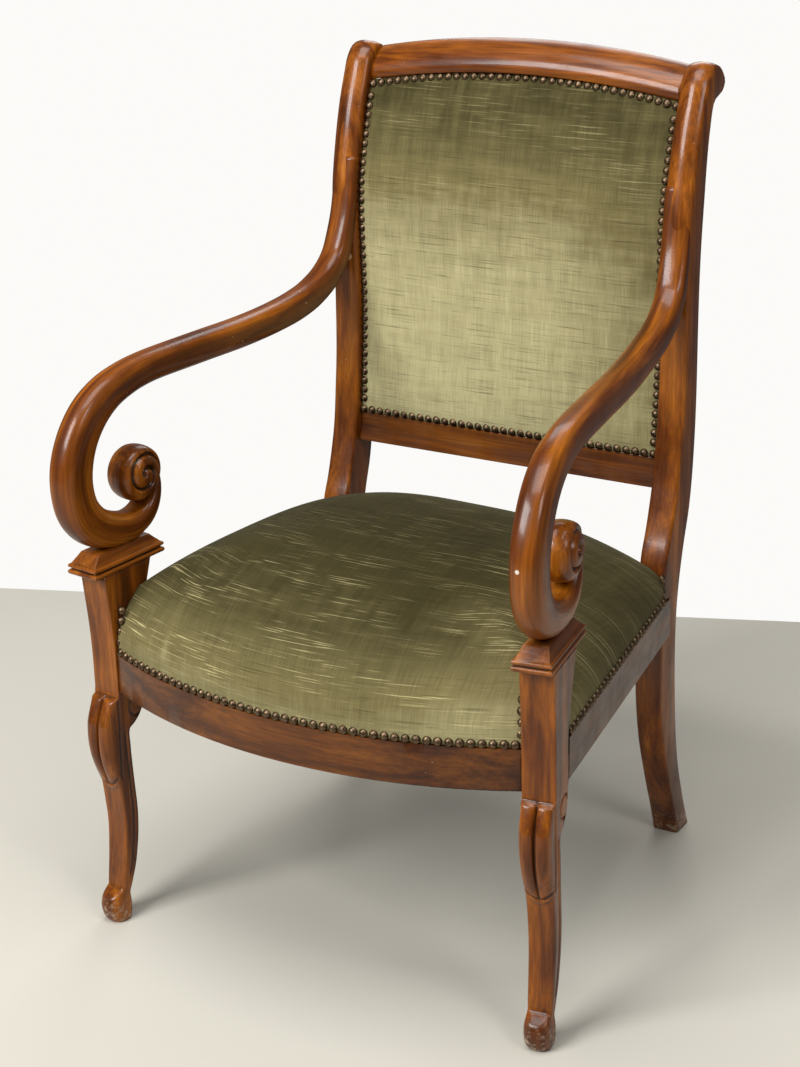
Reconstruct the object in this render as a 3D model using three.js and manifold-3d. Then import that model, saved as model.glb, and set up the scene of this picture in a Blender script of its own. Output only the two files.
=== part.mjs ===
// Open armchair with scroll arms, a sprung and domed velvet seat and a padded velvet back.
// Millimetres, +Z up. The sitter faces -Y, +X is the sitter's left. The origin is the middle of the
// chair's box, on the floor.
import * as THREE from 'three';
import { mergeVertices } from 'three/addons/utils/BufferGeometryUtils.js';
import Module from 'manifold-3d';

const wasm = await Module();
wasm.setup();

// Clearances
const GAP = 0.3;               // between pieces that touch
const LAYER_GAP = 0.7;         // between curved layers of the back panel
const OVERLAP = 1;             // by which two lumps of one piece run into each other

// Overall sizes
const FRONT_SPREAD = 525;      // between the middles of the front posts
const BACK_SPREAD = 425;       // between the middles of the back uprights
const SEAT_DEPTH = 364;        // from the posts' middle to the uprights' face at the seat
const RAIL_BOTTOM = 289;       // height of the seat rails' underside
const RAIL_HEIGHT = 62;
const POST_RISE = 79;          // posts above the seat rails
const BACK_GAP = 104;          // from the seat rails' top up to the lower back rail
const ARM_RISE = 287;          // from the seat rails' top to the middle of the arm's level run
const BACK_RISE = 534;         // from the seat rails' top to the crest rail, beside the uprights
const TOP_ROLL = 39;           // uprights above the crest rail's lower edge

// Seat frame
const RAIL_THICKNESS = 26;
const BARE_RAIL = 46;          // height of rail left bare below the cover
const RABBET = 5;              // depth of the step that takes the cover's edge
const FRONT_BOW = 57;          // by which the front rail swells past the posts
const RAIL_MEETS = 29;         // where the front rail's face meets the post, ahead of its middle
const TENON_LENGTH = 15;
const TENON_THICKNESS = 10;
const TENON_SHOULDER = 9;      // above and below a tenon

// Legs, uprights and arms
const POST_WIDTH = 36;
const SHANK_WIDTH = 30;
const LEG_FLARE = 3;           // toe's outward step from the post's middle
const TOE_RADIUS = 16;
const TOE_HALF = 14.5;
const TOE_REACH = 45;          // toe's middle ahead of the post's middle
const KNEE_BULGE = 4;
const UPRIGHT_WIDTH = 33;
const UPRIGHT_BULGE = 8;       // round swell of the uprights' face above the arms
const UPRIGHT_LEAN = 53;       // uprights' face at the arms, behind their face at the seat
const NOSE_RADIUS = 16;
const ARM_WIDTH = 33;
const ARM_THICKNESS = 34;
const CROOK_THICKNESS = 46;    // of the arm where it turns down
const VOLUTE_RADIUS = 31;
const VOLUTE_WIDTH = 36;
const VOLUTE_BACK = 37;        // volute's middle behind the post's middle
const VOLUTE_LIFT = 39;        // volute's underside above the cap
const CAP_HEIGHT = 24;
const CAP_OVERHANG = 3.4;
const CAP_LENGTH = 108;
const DOWEL_RADIUS = 5;
const DOWEL_DEPTH = 24;        // of a dowel in each piece that it joins
const POST_DOWEL_AHEAD = 4;    // of the post's middle
const UPRIGHT_DOWEL_RISE = 44; // above the arm's level run

// Upholstery
const CLOTH = 2;
const DOME_RISE = 114;
const CANVAS = 1.2;
const STRAP_THICKNESS = 1.5;
const STRAP_WIDTH = 52;
const STRAP_SPREAD = 0.245;    // pitch of the straps as a share of the width between the uprights
const SPRING_WIRE = 3.6;
const SPRING_RADIUS = 33;
const SPRING_WAIST = 24;
const SPRING_TURNS = 3.5;
const PANEL_SETBACK = 11;      // back cover behind the uprights' face
const BACK_PAD = 8;
const BATTEN_WIDTH = 17;
const BATTEN_DEPTH = 18;
const LIP_HEIGHT = 18;         // of the strips on crest and lower rail that hold the back panel
const LIP_ROOT = 3;            // by which a lip runs into its rail
const BACK_RAIL_HEIGHT = 34;
const BACK_RAIL_DEPTH = 23;
const RAIL_PROUD = 1;          // lower back rail ahead of the back cover
const CREST_RISE = 18;         // height of the crest's arch

// Worked out from the sizes above
const POST_X = FRONT_SPREAD / 2;
const POST_HALF = POST_WIDTH / 2;
const UPRIGHT_X = BACK_SPREAD / 2;
const UPRIGHT_INNER = UPRIGHT_X - UPRIGHT_WIDTH / 2;
const SPLAY = Math.atan2(POST_X - UPRIGHT_X, SEAT_DEPTH + UPRIGHT_WIDTH / 2);
const COS = Math.cos(SPLAY);
const SIN = Math.sin(SPLAY);
const ARM_RUN = (SEAT_DEPTH + UPRIGHT_LEAN) / COS;   // from the post's middle to the upright's face
const RAIL_TOP = RAIL_BOTTOM + RAIL_HEIGHT;
const POST_TOP = RAIL_TOP + POST_RISE;
const ARM_LEVEL = RAIL_TOP + ARM_RISE;
const BACK_RAIL_LEVEL = RAIL_TOP + BACK_GAP;
const CREST_LEVEL = RAIL_TOP + BACK_RISE;
const UPRIGHT_TOP = CREST_LEVEL + TOP_ROLL;
const COVER_EDGE = RAIL_BOTTOM + BARE_RAIL;
const CAP_TOP = POST_TOP + GAP + CAP_HEIGHT;
const BACK_RAIL_TOP = BACK_RAIL_LEVEL + BACK_RAIL_HEIGHT;
const HALF_CHORD = POST_X - POST_HALF * COS + RAIL_MEETS * SIN;
const BOW_RADIUS = (HALF_CHORD ** 2 + FRONT_BOW ** 2) / (2 * FRONT_BOW);
const BOW_CENTRE = BOW_RADIUS - FRONT_BOW - POST_HALF * SIN - RAIL_MEETS * COS;
const BOW_STEPS = 24;
const ARCH_STEPS = 6;
const REAR_RAIL_SETBACK = 2;
const REAR_RAIL_Y = SEAT_DEPTH + REAR_RAIL_SETBACK;
const SEAT_BACK = REAR_RAIL_Y + RAIL_THICKNESS;

const WALNUT = { color: 0x6b3a1c, roughness: 0.35, metalness: 0 };
const BEECH = { color: 0xb08a5c, roughness: 0.7, metalness: 0 };
const VELVET = { color: 0x5d5a30, roughness: 0.9, metalness: 0 };
const JUTE = { color: 0xa98e62, roughness: 0.95, metalness: 0 };
const HAIR = { color: 0x5a4a3a, roughness: 1, metalness: 0 };
const STEEL = { color: 0x8a8480, roughness: 0.4, metalness: 0.9 };
const BLACK_CLOTH = { color: 0x1c1b1a, roughness: 0.95, metalness: 0 };

// Solids: every shape is worked as a closed body, so that it can be cut and joined.
function solid(geometry) {
  const bare = geometry.clone();
  bare.deleteAttribute('normal');
  bare.deleteAttribute('uv');
  const merged = mergeVertices(bare, 1e-4);
  return new wasm.Manifold(new wasm.Mesh({
    numProp: 3,
    vertProperties: new Float32Array(merged.attributes.position.array),
    triVerts: new Uint32Array(merged.index.array),
  }));
}

function geometryOf(body) {
  const mesh = body.getMesh();
  const geometry = new THREE.BufferGeometry();
  geometry.setAttribute('position', new THREE.BufferAttribute(new Float32Array(mesh.vertProperties), 3));
  geometry.setIndex(new THREE.BufferAttribute(new Uint32Array(mesh.triVerts), 1));
  geometry.computeVertexNormals();
  return geometry;
}

// A skin over a row of rings, each with as many points, closed at both ends and facing out.
function loft(rings) {
  const count = rings[0].length;
  const points = rings.flat();
  const faces = [];
  for (let r = 0; r + 1 < rings.length; r += 1) {
    for (let k = 0; k < count; k += 1) {
      const a = r * count + k;
      const b = r * count + (k + 1) % count;
      faces.push([a, b, b + count], [a, b + count, a + count]);
    }
  }
  const last = (rings.length - 1) * count;
  for (const [a, b, c] of endFaces(count)) {
    faces.push([a, c, b], [last + a, last + b, last + c]);
  }
  const volume = faces.reduce(
    (sum, [a, b, c]) => sum + points[a].dot(points[b].clone().cross(points[c])), 0);
  const geometry = new THREE.BufferGeometry();
  geometry.setAttribute('position', new THREE.BufferAttribute(
    new Float32Array(points.flatMap((p) => [p.x, p.y, p.z])), 3));
  geometry.setIndex(faces.flatMap(([a, b, c]) => (volume < 0 ? [a, c, b] : [a, b, c])));
  return solid(geometry);
}

function endFaces(count) {
  const faces = [];
  for (let k = 1; k + 1 < count; k += 1) faces.push([0, k, k + 1]);
  return faces;
}

// A flat outline of [x, y] points raised from one level to another.
function prism(outline, low, high) {
  const shape = new THREE.Shape(outline.map(([x, y]) => new THREE.Vector2(x, y)));
  const geometry = new THREE.ExtrudeGeometry(shape, { depth: high - low, bevelEnabled: false });
  return solid(geometry.translate(0, 0, low));
}

function block(x0, x1, y0, y1, z0, z1) {
  return prism([[x0, y0], [x1, y0], [x1, y1], [x0, y1]], z0, z1);
}

// A round bar between two points.
function bar(from, to, radius) {
  const axis = new THREE.Vector3().subVectors(to, from);
  const geometry = new THREE.CylinderGeometry(radius, radius, axis.length(), 12);
  const turn = new THREE.Quaternion().setFromUnitVectors(
    new THREE.Vector3(0, 1, 0), axis.clone().normalize());
  geometry.applyQuaternion(turn);
  const middle = from.clone().add(to).multiplyScalar(0.5);
  return solid(geometry.translate(middle.x, middle.y, middle.z));
}

// A smooth line through [along, across] points, given as a function of along.
function smoothLine(points) {
  const slope = points.map((p, i) => {
    const before = points[Math.max(i - 1, 0)];
    const after = points[Math.min(i + 1, points.length - 1)];
    return (after[1] - before[1]) / (after[0] - before[0]);
  });
  return (along) => {
    let i = 0;
    while (i < points.length - 2 && along > points[i + 1][0]) i += 1;
    const span = points[i + 1][0] - points[i][0];
    const t = THREE.MathUtils.clamp((along - points[i][0]) / span, 0, 1);
    const rise = points[i + 1][1] - points[i][1];
    const bend = (1 - t) * (slope[i] * span - rise) - t * (slope[i + 1] * span - rise);
    return points[i][1] + t * rise + t * (1 - t) * bend;
  };
}

// A level cut through a post or leg: square at the back, swelling at the front.
function levelCut(inner, outer, front, back, bulge, z) {
  const ring = [[outer, back], [inner, back], [inner, front]];
  const steps = 5;
  for (let k = 1; k < steps; k += 1) {
    const t = k / steps;
    ring.push([inner + (outer - inner) * t, front - bulge * 4 * t * (1 - t)]);
  }
  ring.push([outer, front]);
  return ring.map(([x, y]) => new THREE.Vector3(x, y, z));
}

// Frames of the two sides: x outward from the post's middle, y back along the arm.
function sideFrame(side) {
  return new THREE.Matrix4().makeRotationZ(side * SPLAY).setPosition(side * POST_X, 0, 0);
}

function mirrored(body) {
  return body.mirror([1, 0, 0]);
}

function moved(body, matrix) {
  return body.transform(matrix.elements);
}

// A right-hand body from the side's own frame into the chair's frame.
function inChair(body, side) {
  return moved(side > 0 ? body : mirrored(body), sideFrame(side));
}

function ofSide(body, side) {
  return side > 0 ? body : mirrored(body);
}

const chair = new THREE.Group();
const sideGroups = {};
for (const side of [1, -1]) {
  const group = new THREE.Group();
  group.position.set(side * POST_X, 0, 0);
  group.rotation.z = side * SPLAY;
  chair.add(group);
  sideGroups[side] = group;
}

function place(group, name, body, finish) {
  const mesh = new THREE.Mesh(geometryOf(body), new THREE.MeshStandardMaterial(finish));
  mesh.name = name;
  group.add(mesh);
}

const SIDES = [[1, 'left'], [-1, 'right']];

// Outlines of the legs are drawn for rails at this height, and stretch with it.
const LEG_DRAWN = 289;
const legHeight = (z) => z * RAIL_BOTTOM / LEG_DRAWN;
const between = (low, high, share) => low + (high - low) * share;

// Front leg: scroll toe, slim shank, carved knee, square block and a post that widens to its cap.
// Each line gives the height and the distance from the post's middle.
const KNEE_TOP = legHeight(283);
const legFront = smoothLine([
  [0, -52], [legHeight(20), -48], [legHeight(40), -41], [legHeight(80), -34], [legHeight(124), -31.5],
  [legHeight(165), -36], [legHeight(190), -50], [legHeight(218), -52], [legHeight(252), -48],
  [KNEE_TOP, -33], [RAIL_BOTTOM, -31.5], [RAIL_TOP, -32], [POST_TOP, -38.5],
]);
const legBack = smoothLine([
  [0, -36], [legHeight(20), -34], [legHeight(40), -27], [legHeight(80), -13], [legHeight(124), -8],
  [legHeight(165), -10], [legHeight(218), -13], [legHeight(240), -12], [legHeight(252), 3],
  [legHeight(266), 8], [KNEE_TOP, 10], [RAIL_BOTTOM, 10], [RAIL_TOP, 12], [POST_TOP, 35],
]);
const legHalf = smoothLine([
  [0, TOE_HALF - 1], [legHeight(40), TOE_HALF - 1], [legHeight(124), SHANK_WIDTH / 2],
  [legHeight(165), SHANK_WIDTH / 2], [legHeight(200), POST_HALF - 1], [legHeight(252), POST_HALF - 1],
  [KNEE_TOP, POST_HALF], [POST_TOP, POST_HALF],
]);
const legFlare = smoothLine([
  [0, LEG_FLARE], [legHeight(165), LEG_FLARE - 1], [KNEE_TOP, 0], [POST_TOP, 0]]);

function frontLegBlank(grow) {
  const shank = [0, 12, 24, 40, 60, 80, 102, 124, 145, 158, 168, 178, 190, 204, 218, 232, 242, 252, 262, 272];
  const post = [KNEE_TOP, RAIL_BOTTOM, RAIL_TOP, (RAIL_TOP + POST_TOP) / 2, POST_TOP + grow];
  const rings = [...shank.map(legHeight), ...post].map((z) => levelCut(
    legFlare(z) - legHalf(z) - grow, legFlare(z) + legHalf(z) + grow,
    legFront(z) - grow, legBack(z) + grow, z < KNEE_TOP ? KNEE_BULGE : 0, z));
  const toe = bar(new THREE.Vector3(legFlare(0) - TOE_HALF, -TOE_REACH, TOE_RADIUS),
    new THREE.Vector3(legFlare(0) + TOE_HALF, -TOE_REACH, TOE_RADIUS), TOE_RADIUS);
  return loft(rings).add(toe);
}

// Tenons, in the side's frame: front rail into the post, side rail into the post and the upright.
const TENON_LOW = RAIL_BOTTOM + TENON_SHOULDER;
const TENON_HIGH = RAIL_TOP - TENON_SHOULDER;
const SIDE_RAIL_MIDDLE = POST_HALF - RAIL_THICKNESS / 2;
const FRONT_TENON_SETBACK = 3;

function frontTenon(grow) {
  const front = -RAIL_MEETS + RABBET + FRONT_TENON_SETBACK;
  return block(-POST_HALF - TENON_LENGTH, -POST_HALF + TENON_LENGTH + grow,
    front - grow, front + TENON_THICKNESS + grow, TENON_LOW - grow, TENON_HIGH + grow);
}

function sideTenon(grow) {
  const middle = SIDE_RAIL_MIDDLE;
  return block(middle - TENON_THICKNESS / 2 - grow, middle + TENON_THICKNESS / 2 + grow,
    legBack(RAIL_BOTTOM) - TENON_LENGTH - grow, SEAT_DEPTH / COS + TENON_LENGTH + grow,
    TENON_LOW - grow, TENON_HIGH + grow);
}

// Dowels of the arm, in the side's frame.
function postDowel(grow) {
  const from = new THREE.Vector3(0, -POST_DOWEL_AHEAD, POST_TOP - DOWEL_DEPTH - grow);
  const to = new THREE.Vector3(0, -POST_DOWEL_AHEAD, CAP_TOP + DOWEL_DEPTH + grow);
  return bar(from, to, DOWEL_RADIUS + grow);
}

function uprightDowel(grow) {
  const z = ARM_LEVEL + UPRIGHT_DOWEL_RISE;
  const from = new THREE.Vector3(0, ARM_RUN - DOWEL_DEPTH - grow, z);
  const to = new THREE.Vector3(0, ARM_RUN + DOWEL_DEPTH + grow, z);
  return bar(from, to, DOWEL_RADIUS + grow);
}

// Back upright and rear leg in one sabre-curved piece, with a rolled top. The lines give the height and
// how far the face stands behind its place at the seat, and the depth from front to back.
const lowerBack = (share) => between(RAIL_TOP, BACK_RAIL_LEVEL, share);
const middleBack = (share) => between(BACK_RAIL_LEVEL, ARM_LEVEL, share);
const upperBack = (share) => between(ARM_LEVEL, CREST_LEVEL, share);
const uprightFace = smoothLine([
  [0, 72], [legHeight(92), 34], [legHeight(153), 12], [legHeight(209), 0], [RAIL_BOTTOM, 0], [RAIL_TOP, 1],
  [lowerBack(0.34), 9], [BACK_RAIL_LEVEL, 34], [middleBack(0.34), 45], [middleBack(0.91), UPRIGHT_LEAN],
  [upperBack(0.5), UPRIGHT_LEAN + 1], [upperBack(0.82), 72], [CREST_LEVEL, 88], [UPRIGHT_TOP, 104],
]);
const uprightDepth = smoothLine([
  [0, 33], [legHeight(107), 32], [legHeight(208), 44], [RAIL_TOP, 46], [lowerBack(0.34), 49],
  [BACK_RAIL_LEVEL, 44], [middleBack(0.54), 37], [ARM_LEVEL, 33], [upperBack(0.76), 31],
  [CREST_LEVEL, 26], [UPRIGHT_TOP, 24],
]);
const uprightSwell = smoothLine([
  [0, 1], [upperBack(0.08), 1], [upperBack(0.5), UPRIGHT_BULGE], [UPRIGHT_TOP, UPRIGHT_BULGE]]);
const FOOT_LEANS_IN = 4;
const uprightToeIn = smoothLine([[0, FOOT_LEANS_IN], [legHeight(209), 0], [UPRIGHT_TOP, 0]]);

function faceLine(z) {
  return SEAT_DEPTH + uprightFace(z);
}

function uprightBlank(grow) {
  const leg = [0, 30, 62, 92, 122, 153, 180, 209, LEG_DRAWN].map(legHeight);
  const back = [
    ...[0, 0.17, 0.34, 0.58, 0.79, 1].map(lowerBack),
    ...[0.16, 0.34, 0.67, 0.91].map(middleBack),
    ...[0.2, 0.5, 0.67, 0.82, 0.92, 1].map(upperBack),
  ];
  const rings = [...leg, ...back].map((z) => levelCut(
    UPRIGHT_INNER - uprightToeIn(z) - grow, UPRIGHT_INNER + UPRIGHT_WIDTH - uprightToeIn(z) + grow,
    faceLine(z) - grow, faceLine(z) + uprightDepth(z) + grow, uprightSwell(z), z));
  return loft(rings).add(uprightNose(grow));
}

// Side view of the rolled top, from the upright's face over the crown to the nose at the back.
const NOSE_BACK = 14;          // nose's middle behind the upright
const NOSE_DROP = 5;           // nose below the crown
const CROWN_EASE = 4;          // by which the roll is fuller at the crown than at the nose
const CROWN_START = THREE.MathUtils.degToRad(115);
const CROWN_SWEEP = THREE.MathUtils.degToRad(215);

function uprightNose(grow) {
  const face = faceLine(CREST_LEVEL);
  const back = face + uprightDepth(CREST_LEVEL);
  const centre = [back + NOSE_BACK, UPRIGHT_TOP - NOSE_RADIUS - NOSE_DROP];
  const outline = [
    [face - UPRIGHT_BULGE + 3 - grow, CREST_LEVEL - OVERLAP],
    [face + UPRIGHT_BULGE - grow, UPRIGHT_TOP - UPRIGHT_BULGE]];
  const steps = 9;
  for (let k = 0; k <= steps; k += 1) {
    const angle = CROWN_START - CROWN_SWEEP * k / steps;
    const reach = NOSE_RADIUS + CROWN_EASE * (1 - k / steps) + grow;
    outline.push([centre[0] + reach * Math.cos(angle), centre[1] + reach * Math.sin(angle)]);
  }
  outline.push([back - OVERLAP + grow, CREST_LEVEL - OVERLAP]);
  const ringAt = (x) => outline.map(([y, z]) => new THREE.Vector3(x, y, z));
  return loft([ringAt(UPRIGHT_INNER - grow), ringAt(UPRIGHT_INNER + UPRIGHT_WIDTH + grow)]);
}

// Scroll arm, in the side's frame. Each station gives a point of its middle line, as the distance behind
// the post's middle and the height, and half the arm's thickness there.
const FACET_EASE = 1.04;       // makes up for the flats of a many-sided round
function armBlank() {
  const drop = ARM_LEVEL - CAP_TOP;
  const level = ARM_THICKNESS / 2;
  const crook = CROOK_THICKNESS / 2;
  const stations = [
    [ARM_RUN + 1, ARM_LEVEL + 142, 6], [ARM_RUN - 2, ARM_LEVEL + 107, 10],
    [ARM_RUN - 8, ARM_LEVEL + 74, 14],
    [ARM_RUN - 20, ARM_LEVEL + 48, level], [ARM_RUN - 40, ARM_LEVEL + 29, level],
    [ARM_RUN - 70, ARM_LEVEL + 15, level], [ARM_RUN - 100, ARM_LEVEL + 8, level],
    [ARM_RUN - 140, ARM_LEVEL + 3, level], [(ARM_RUN + 30) / 2, ARM_LEVEL, level],
    [60, ARM_LEVEL - 1, level],
    [28, ARM_LEVEL - 0.03 * drop, level + 1], [0, ARM_LEVEL - 0.077 * drop, crook - 4],
    [-25, ARM_LEVEL - 0.164 * drop, crook - 2], [-44, ARM_LEVEL - 0.29 * drop, crook - 1],
    [-55, ARM_LEVEL - 0.438 * drop, crook], [-57, ARM_LEVEL - 0.575 * drop, crook],
    [-51, ARM_LEVEL - 0.717 * drop, crook], [-34, ARM_LEVEL - 0.832 * drop, crook],
    [-8, ARM_LEVEL - 0.892 * drop, crook - 1], [22, ARM_LEVEL - 0.878 * drop, crook - 3],
    [44, ARM_LEVEL - 0.82 * drop, crook - 5], [57, ARM_LEVEL - 0.71 * drop, crook - 9],
  ];
  const spine = new THREE.CatmullRomCurve3(
    stations.map(([y, z]) => new THREE.Vector3(0, y, z)), false, 'centripetal');
  const thickness = smoothLine(stations.map(([, , half], i) => [i / (stations.length - 1), half]));
  const steps = 44;
  const rings = [];
  for (let k = 0; k <= steps; k += 1) {
    const t = k / steps;
    const middle = spine.getPoint(t);
    const along = spine.getTangent(t);
    const across = new THREE.Vector3(0, -along.z, along.y);
    const half = thickness(t);
    const ring = [];
    const sides = 10;
    for (let j = 0; j < sides; j += 1) {
      const angle = (j + 0.5) * 2 * Math.PI / sides;
      ring.push(middle.clone().addScaledVector(across, half * Math.sin(angle) * FACET_EASE)
        .setX(ARM_WIDTH / 2 * Math.cos(angle) * FACET_EASE));
    }
    rings.push(ring);
  }
  const centre = [VOLUTE_BACK, CAP_TOP + VOLUTE_RADIUS + VOLUTE_LIFT];
  const volute = bar(new THREE.Vector3(-VOLUTE_WIDTH / 2, ...centre),
    new THREE.Vector3(VOLUTE_WIDTH / 2, ...centre), VOLUTE_RADIUS);
  return loft(rings).add(volute);
}

// Moulded cap: two beads and a low pyramid that the arm stands on.
function capBlank() {
  const half = POST_HALF + CAP_OVERHANG;
  const long = CAP_LENGTH / 2;
  const levels = [
    [0, 2], [2, 0], [5, 0], [6.5, 2], [7.5, 2], [8.5, 0.4], [11.5, 0.4], [13, 3], [CAP_HEIGHT, 8]];
  const ends = [0, 0, 0, 0, 0, 0, 0, 1, 6];
  const rings = levels.map(([rise, inset], i) => {
    const x = half - inset;
    const y = long - inset - ends[i];
    const z = POST_TOP + GAP + rise;
    return [[x, y], [-x, y], [-x, -y], [x, -y]].map(([u, v]) => new THREE.Vector3(u, v, z));
  });
  return loft(rings);
}

// Plan of the seat, inset all round: bowed front, splayed sides, straight back.
function seatPlan(inset, back) {
  const reach = POST_HALF - inset;
  const start = new THREE.Vector2(POST_X + reach * COS, reach * SIN);
  const radius = BOW_RADIUS - inset;
  const along = new THREE.Vector2(-SIN, COS);
  const fromCentre = new THREE.Vector2(start.x, start.y - BOW_CENTRE);
  const half = fromCentre.dot(along);
  const run = -half - Math.sqrt(half ** 2 - fromCentre.lengthSq() + radius ** 2);
  const corner = start.clone().addScaledVector(along, run);
  const rear = start.clone().addScaledVector(along, (back - start.y) / COS);
  const sweep = Math.asin(corner.x / radius);
  const plan = [];
  for (let k = 0; k <= BOW_STEPS; k += 1) {
    const angle = sweep * (2 * k / BOW_STEPS - 1);
    plan.push([radius * Math.sin(angle), BOW_CENTRE - radius * Math.cos(angle)]);
  }
  const sidePoints = 6;
  for (let k = 1; k <= sidePoints; k += 1) {
    const p = corner.clone().lerp(rear, k / sidePoints);
    plan.push([p.x, p.y]);
  }
  const backPoints = 6;
  for (let k = 1; k < backPoints; k += 1) plan.push([rear.x * (1 - 2 * k / backPoints), rear.y]);
  for (let k = sidePoints; k >= 1; k -= 1) {
    const p = corner.clone().lerp(rear, k / sidePoints);
    plan.push([-p.x, p.y]);
  }
  return plan;
}

// Rails
function frontRailBlank(grow) {
  const arc = (inset) => {
    const radius = BOW_RADIUS - inset;
    const sweep = Math.asin(POST_X / BOW_RADIUS);
    const points = [];
    for (let k = 0; k <= BOW_STEPS; k += 1) {
      const angle = sweep * (2 * k / BOW_STEPS - 1);
      points.push([radius * Math.sin(angle), BOW_CENTRE - radius * Math.cos(angle)]);
    }
    return points;
  };
  const band = (near, far, low, high) => prism([...arc(near), ...arc(far).reverse()], low, high);
  return band(-grow, RAIL_THICKNESS + grow, RAIL_BOTTOM - grow, COVER_EDGE)
    .add(band(RABBET - grow, RAIL_THICKNESS + grow, COVER_EDGE - OVERLAP, RAIL_TOP + grow));
}

function sideRailBlank(grow) {
  const front = legBack(RAIL_BOTTOM) - 4;
  const back = SEAT_DEPTH / COS + UPRIGHT_WIDTH;
  const inner = POST_HALF - RAIL_THICKNESS;
  return block(inner - grow, POST_HALF + grow, front, back, RAIL_BOTTOM - grow, COVER_EDGE)
    .add(block(inner - grow, POST_HALF - RABBET + grow, front, back, COVER_EDGE - OVERLAP, RAIL_TOP + grow));
}

function rearRailBlank(grow) {
  const half = UPRIGHT_INNER - GAP;
  const front = REAR_RAIL_Y - grow;
  return block(-half, half, front, SEAT_BACK + grow, RAIL_BOTTOM - grow, COVER_EDGE)
    .add(block(-half, half, front, SEAT_BACK - RABBET + grow, COVER_EDGE - OVERLAP, RAIL_TOP + grow));
}

// Tenons at both ends of a rail between the uprights.
function crossTenon(grow, y, low, high) {
  const half = TENON_THICKNESS / 2 + grow;
  const tenon = block(UPRIGHT_INNER - TENON_LENGTH, UPRIGHT_INNER + TENON_LENGTH + grow,
    y - half, y + half, low - grow, high + grow);
  return tenon.add(mirrored(tenon));
}

const BACK_TENON_SETBACK = 13;   // tenon's middle behind the back cover's face
const CREST_SHOULDER = 4;        // below the crest's tenon
const CREST_TENON_HEIGHT = 13;
const rearTenon = (grow) => crossTenon(
  grow, REAR_RAIL_Y + (RAIL_THICKNESS - RABBET) / 2, TENON_LOW, TENON_HIGH);
const backRailTenon = (grow) => crossTenon(grow, panelLine(BACK_RAIL_LEVEL) + BACK_TENON_SETBACK,
  BACK_RAIL_LEVEL + TENON_SHOULDER, BACK_RAIL_TOP - TENON_SHOULDER);
const crestTenon = (grow) => crossTenon(grow, panelLine(CREST_LEVEL) + BACK_TENON_SETBACK,
  CREST_LEVEL + CREST_SHOULDER, CREST_LEVEL + CREST_SHOULDER + CREST_TENON_HEIGHT);

// Back panel: layers are boxes bent to follow the uprights and the crest's arch.
function panelLine(z) {
  return faceLine(z) + PANEL_SETBACK;
}

function crestArch(x) {
  return CREST_RISE * (1 - (x / UPRIGHT_INNER) ** 2);
}

function panelLayer({ left, right, near, far, low, high, columns, rows, arched, archedLow }) {
  const geometry = new THREE.BoxGeometry(1, 1, 1, columns, 1, rows);
  const points = geometry.attributes.position;
  for (let i = 0; i < points.count; i += 1) {
    const x = left + (right - left) * (points.getX(i) + 0.5);
    const top = high + (arched ? crestArch(x) : 0);
    const foot = low + (archedLow ? crestArch(x) : 0);
    const z = foot + (top - foot) * (points.getZ(i) + 0.5);
    const depth = near + (far - near) * (points.getY(i) + 0.5);
    points.setXYZ(i, x, panelLine(z) + depth, z);
  }
  return solid(geometry);
}

function crestBlank() {
  const half = UPRIGHT_INNER - GAP;
  const base = panelLine(CREST_LEVEL);
  const section = [
    [0, 0], [1, 9], [5, 18], [12, 26], [23, 33], [34, 35], [42, 30], [45, 21], [41, 13], [32, 8],
    [22, 3], [22, 0]];
  const rings = [];
  for (let k = 0; k <= ARCH_STEPS; k += 1) {
    const x = half * (2 * k / ARCH_STEPS - 1);
    rings.push(section.map(([y, z]) => new THREE.Vector3(x, base + y, CREST_LEVEL + z + crestArch(x))));
  }
  const lip = panelLayer({ left: -half, right: half, near: CLOTH + LAYER_GAP, far: CLOTH + BACK_PAD,
    low: CREST_LEVEL - LIP_HEIGHT, high: CREST_LEVEL + LIP_ROOT, columns: ARCH_STEPS, rows: 2,
    arched: true, archedLow: true });
  return loft(rings).add(lip);
}

function backRailBlank() {
  const half = UPRIGHT_INNER - GAP;
  const body = panelLayer({ left: -half, right: half, near: -RAIL_PROUD, far: BACK_RAIL_DEPTH - RAIL_PROUD,
    low: BACK_RAIL_LEVEL, high: BACK_RAIL_TOP, columns: 1, rows: 2 });
  const lip = panelLayer({ left: -half, right: half, near: CLOTH + LAYER_GAP, far: CLOTH + BACK_PAD,
    low: BACK_RAIL_TOP - LIP_ROOT, high: BACK_RAIL_TOP + LIP_HEIGHT, columns: 1, rows: 2 });
  return body.add(lip);
}

// Rigid frame, one solid each
const railTenonsRight = frontTenon(GAP).add(sideTenon(GAP)).add(postDowel(GAP));
const legBody = frontLegBlank(0).subtract(railTenonsRight);
const legKeepOut = frontLegBlank(GAP);
const legsInChair = inChair(legKeepOut, 1).add(inChair(legKeepOut, -1));

const uprightKeepOut = uprightBlank(GAP);
const uprightsInChair = uprightKeepOut.add(mirrored(uprightKeepOut));
const armFrame = sideFrame(1);
const intoSide = armFrame.clone().invert();
const uprightCuts = rearTenon(GAP).add(backRailTenon(GAP)).add(crestTenon(GAP))
  .add(moved(sideTenon(GAP).add(uprightDowel(GAP)), armFrame));
const uprightBody = uprightBlank(0).subtract(uprightCuts);

const capBody = capBlank().subtract(postDowel(GAP));
const belowCap = block(-POST_WIDTH, POST_WIDTH, -CAP_LENGTH, CAP_LENGTH, 0, CAP_TOP + GAP);
const armBody = armBlank().subtract(belowCap).subtract(moved(uprightKeepOut, intoSide))
  .subtract(postDowel(GAP)).subtract(uprightDowel(GAP));

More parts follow.
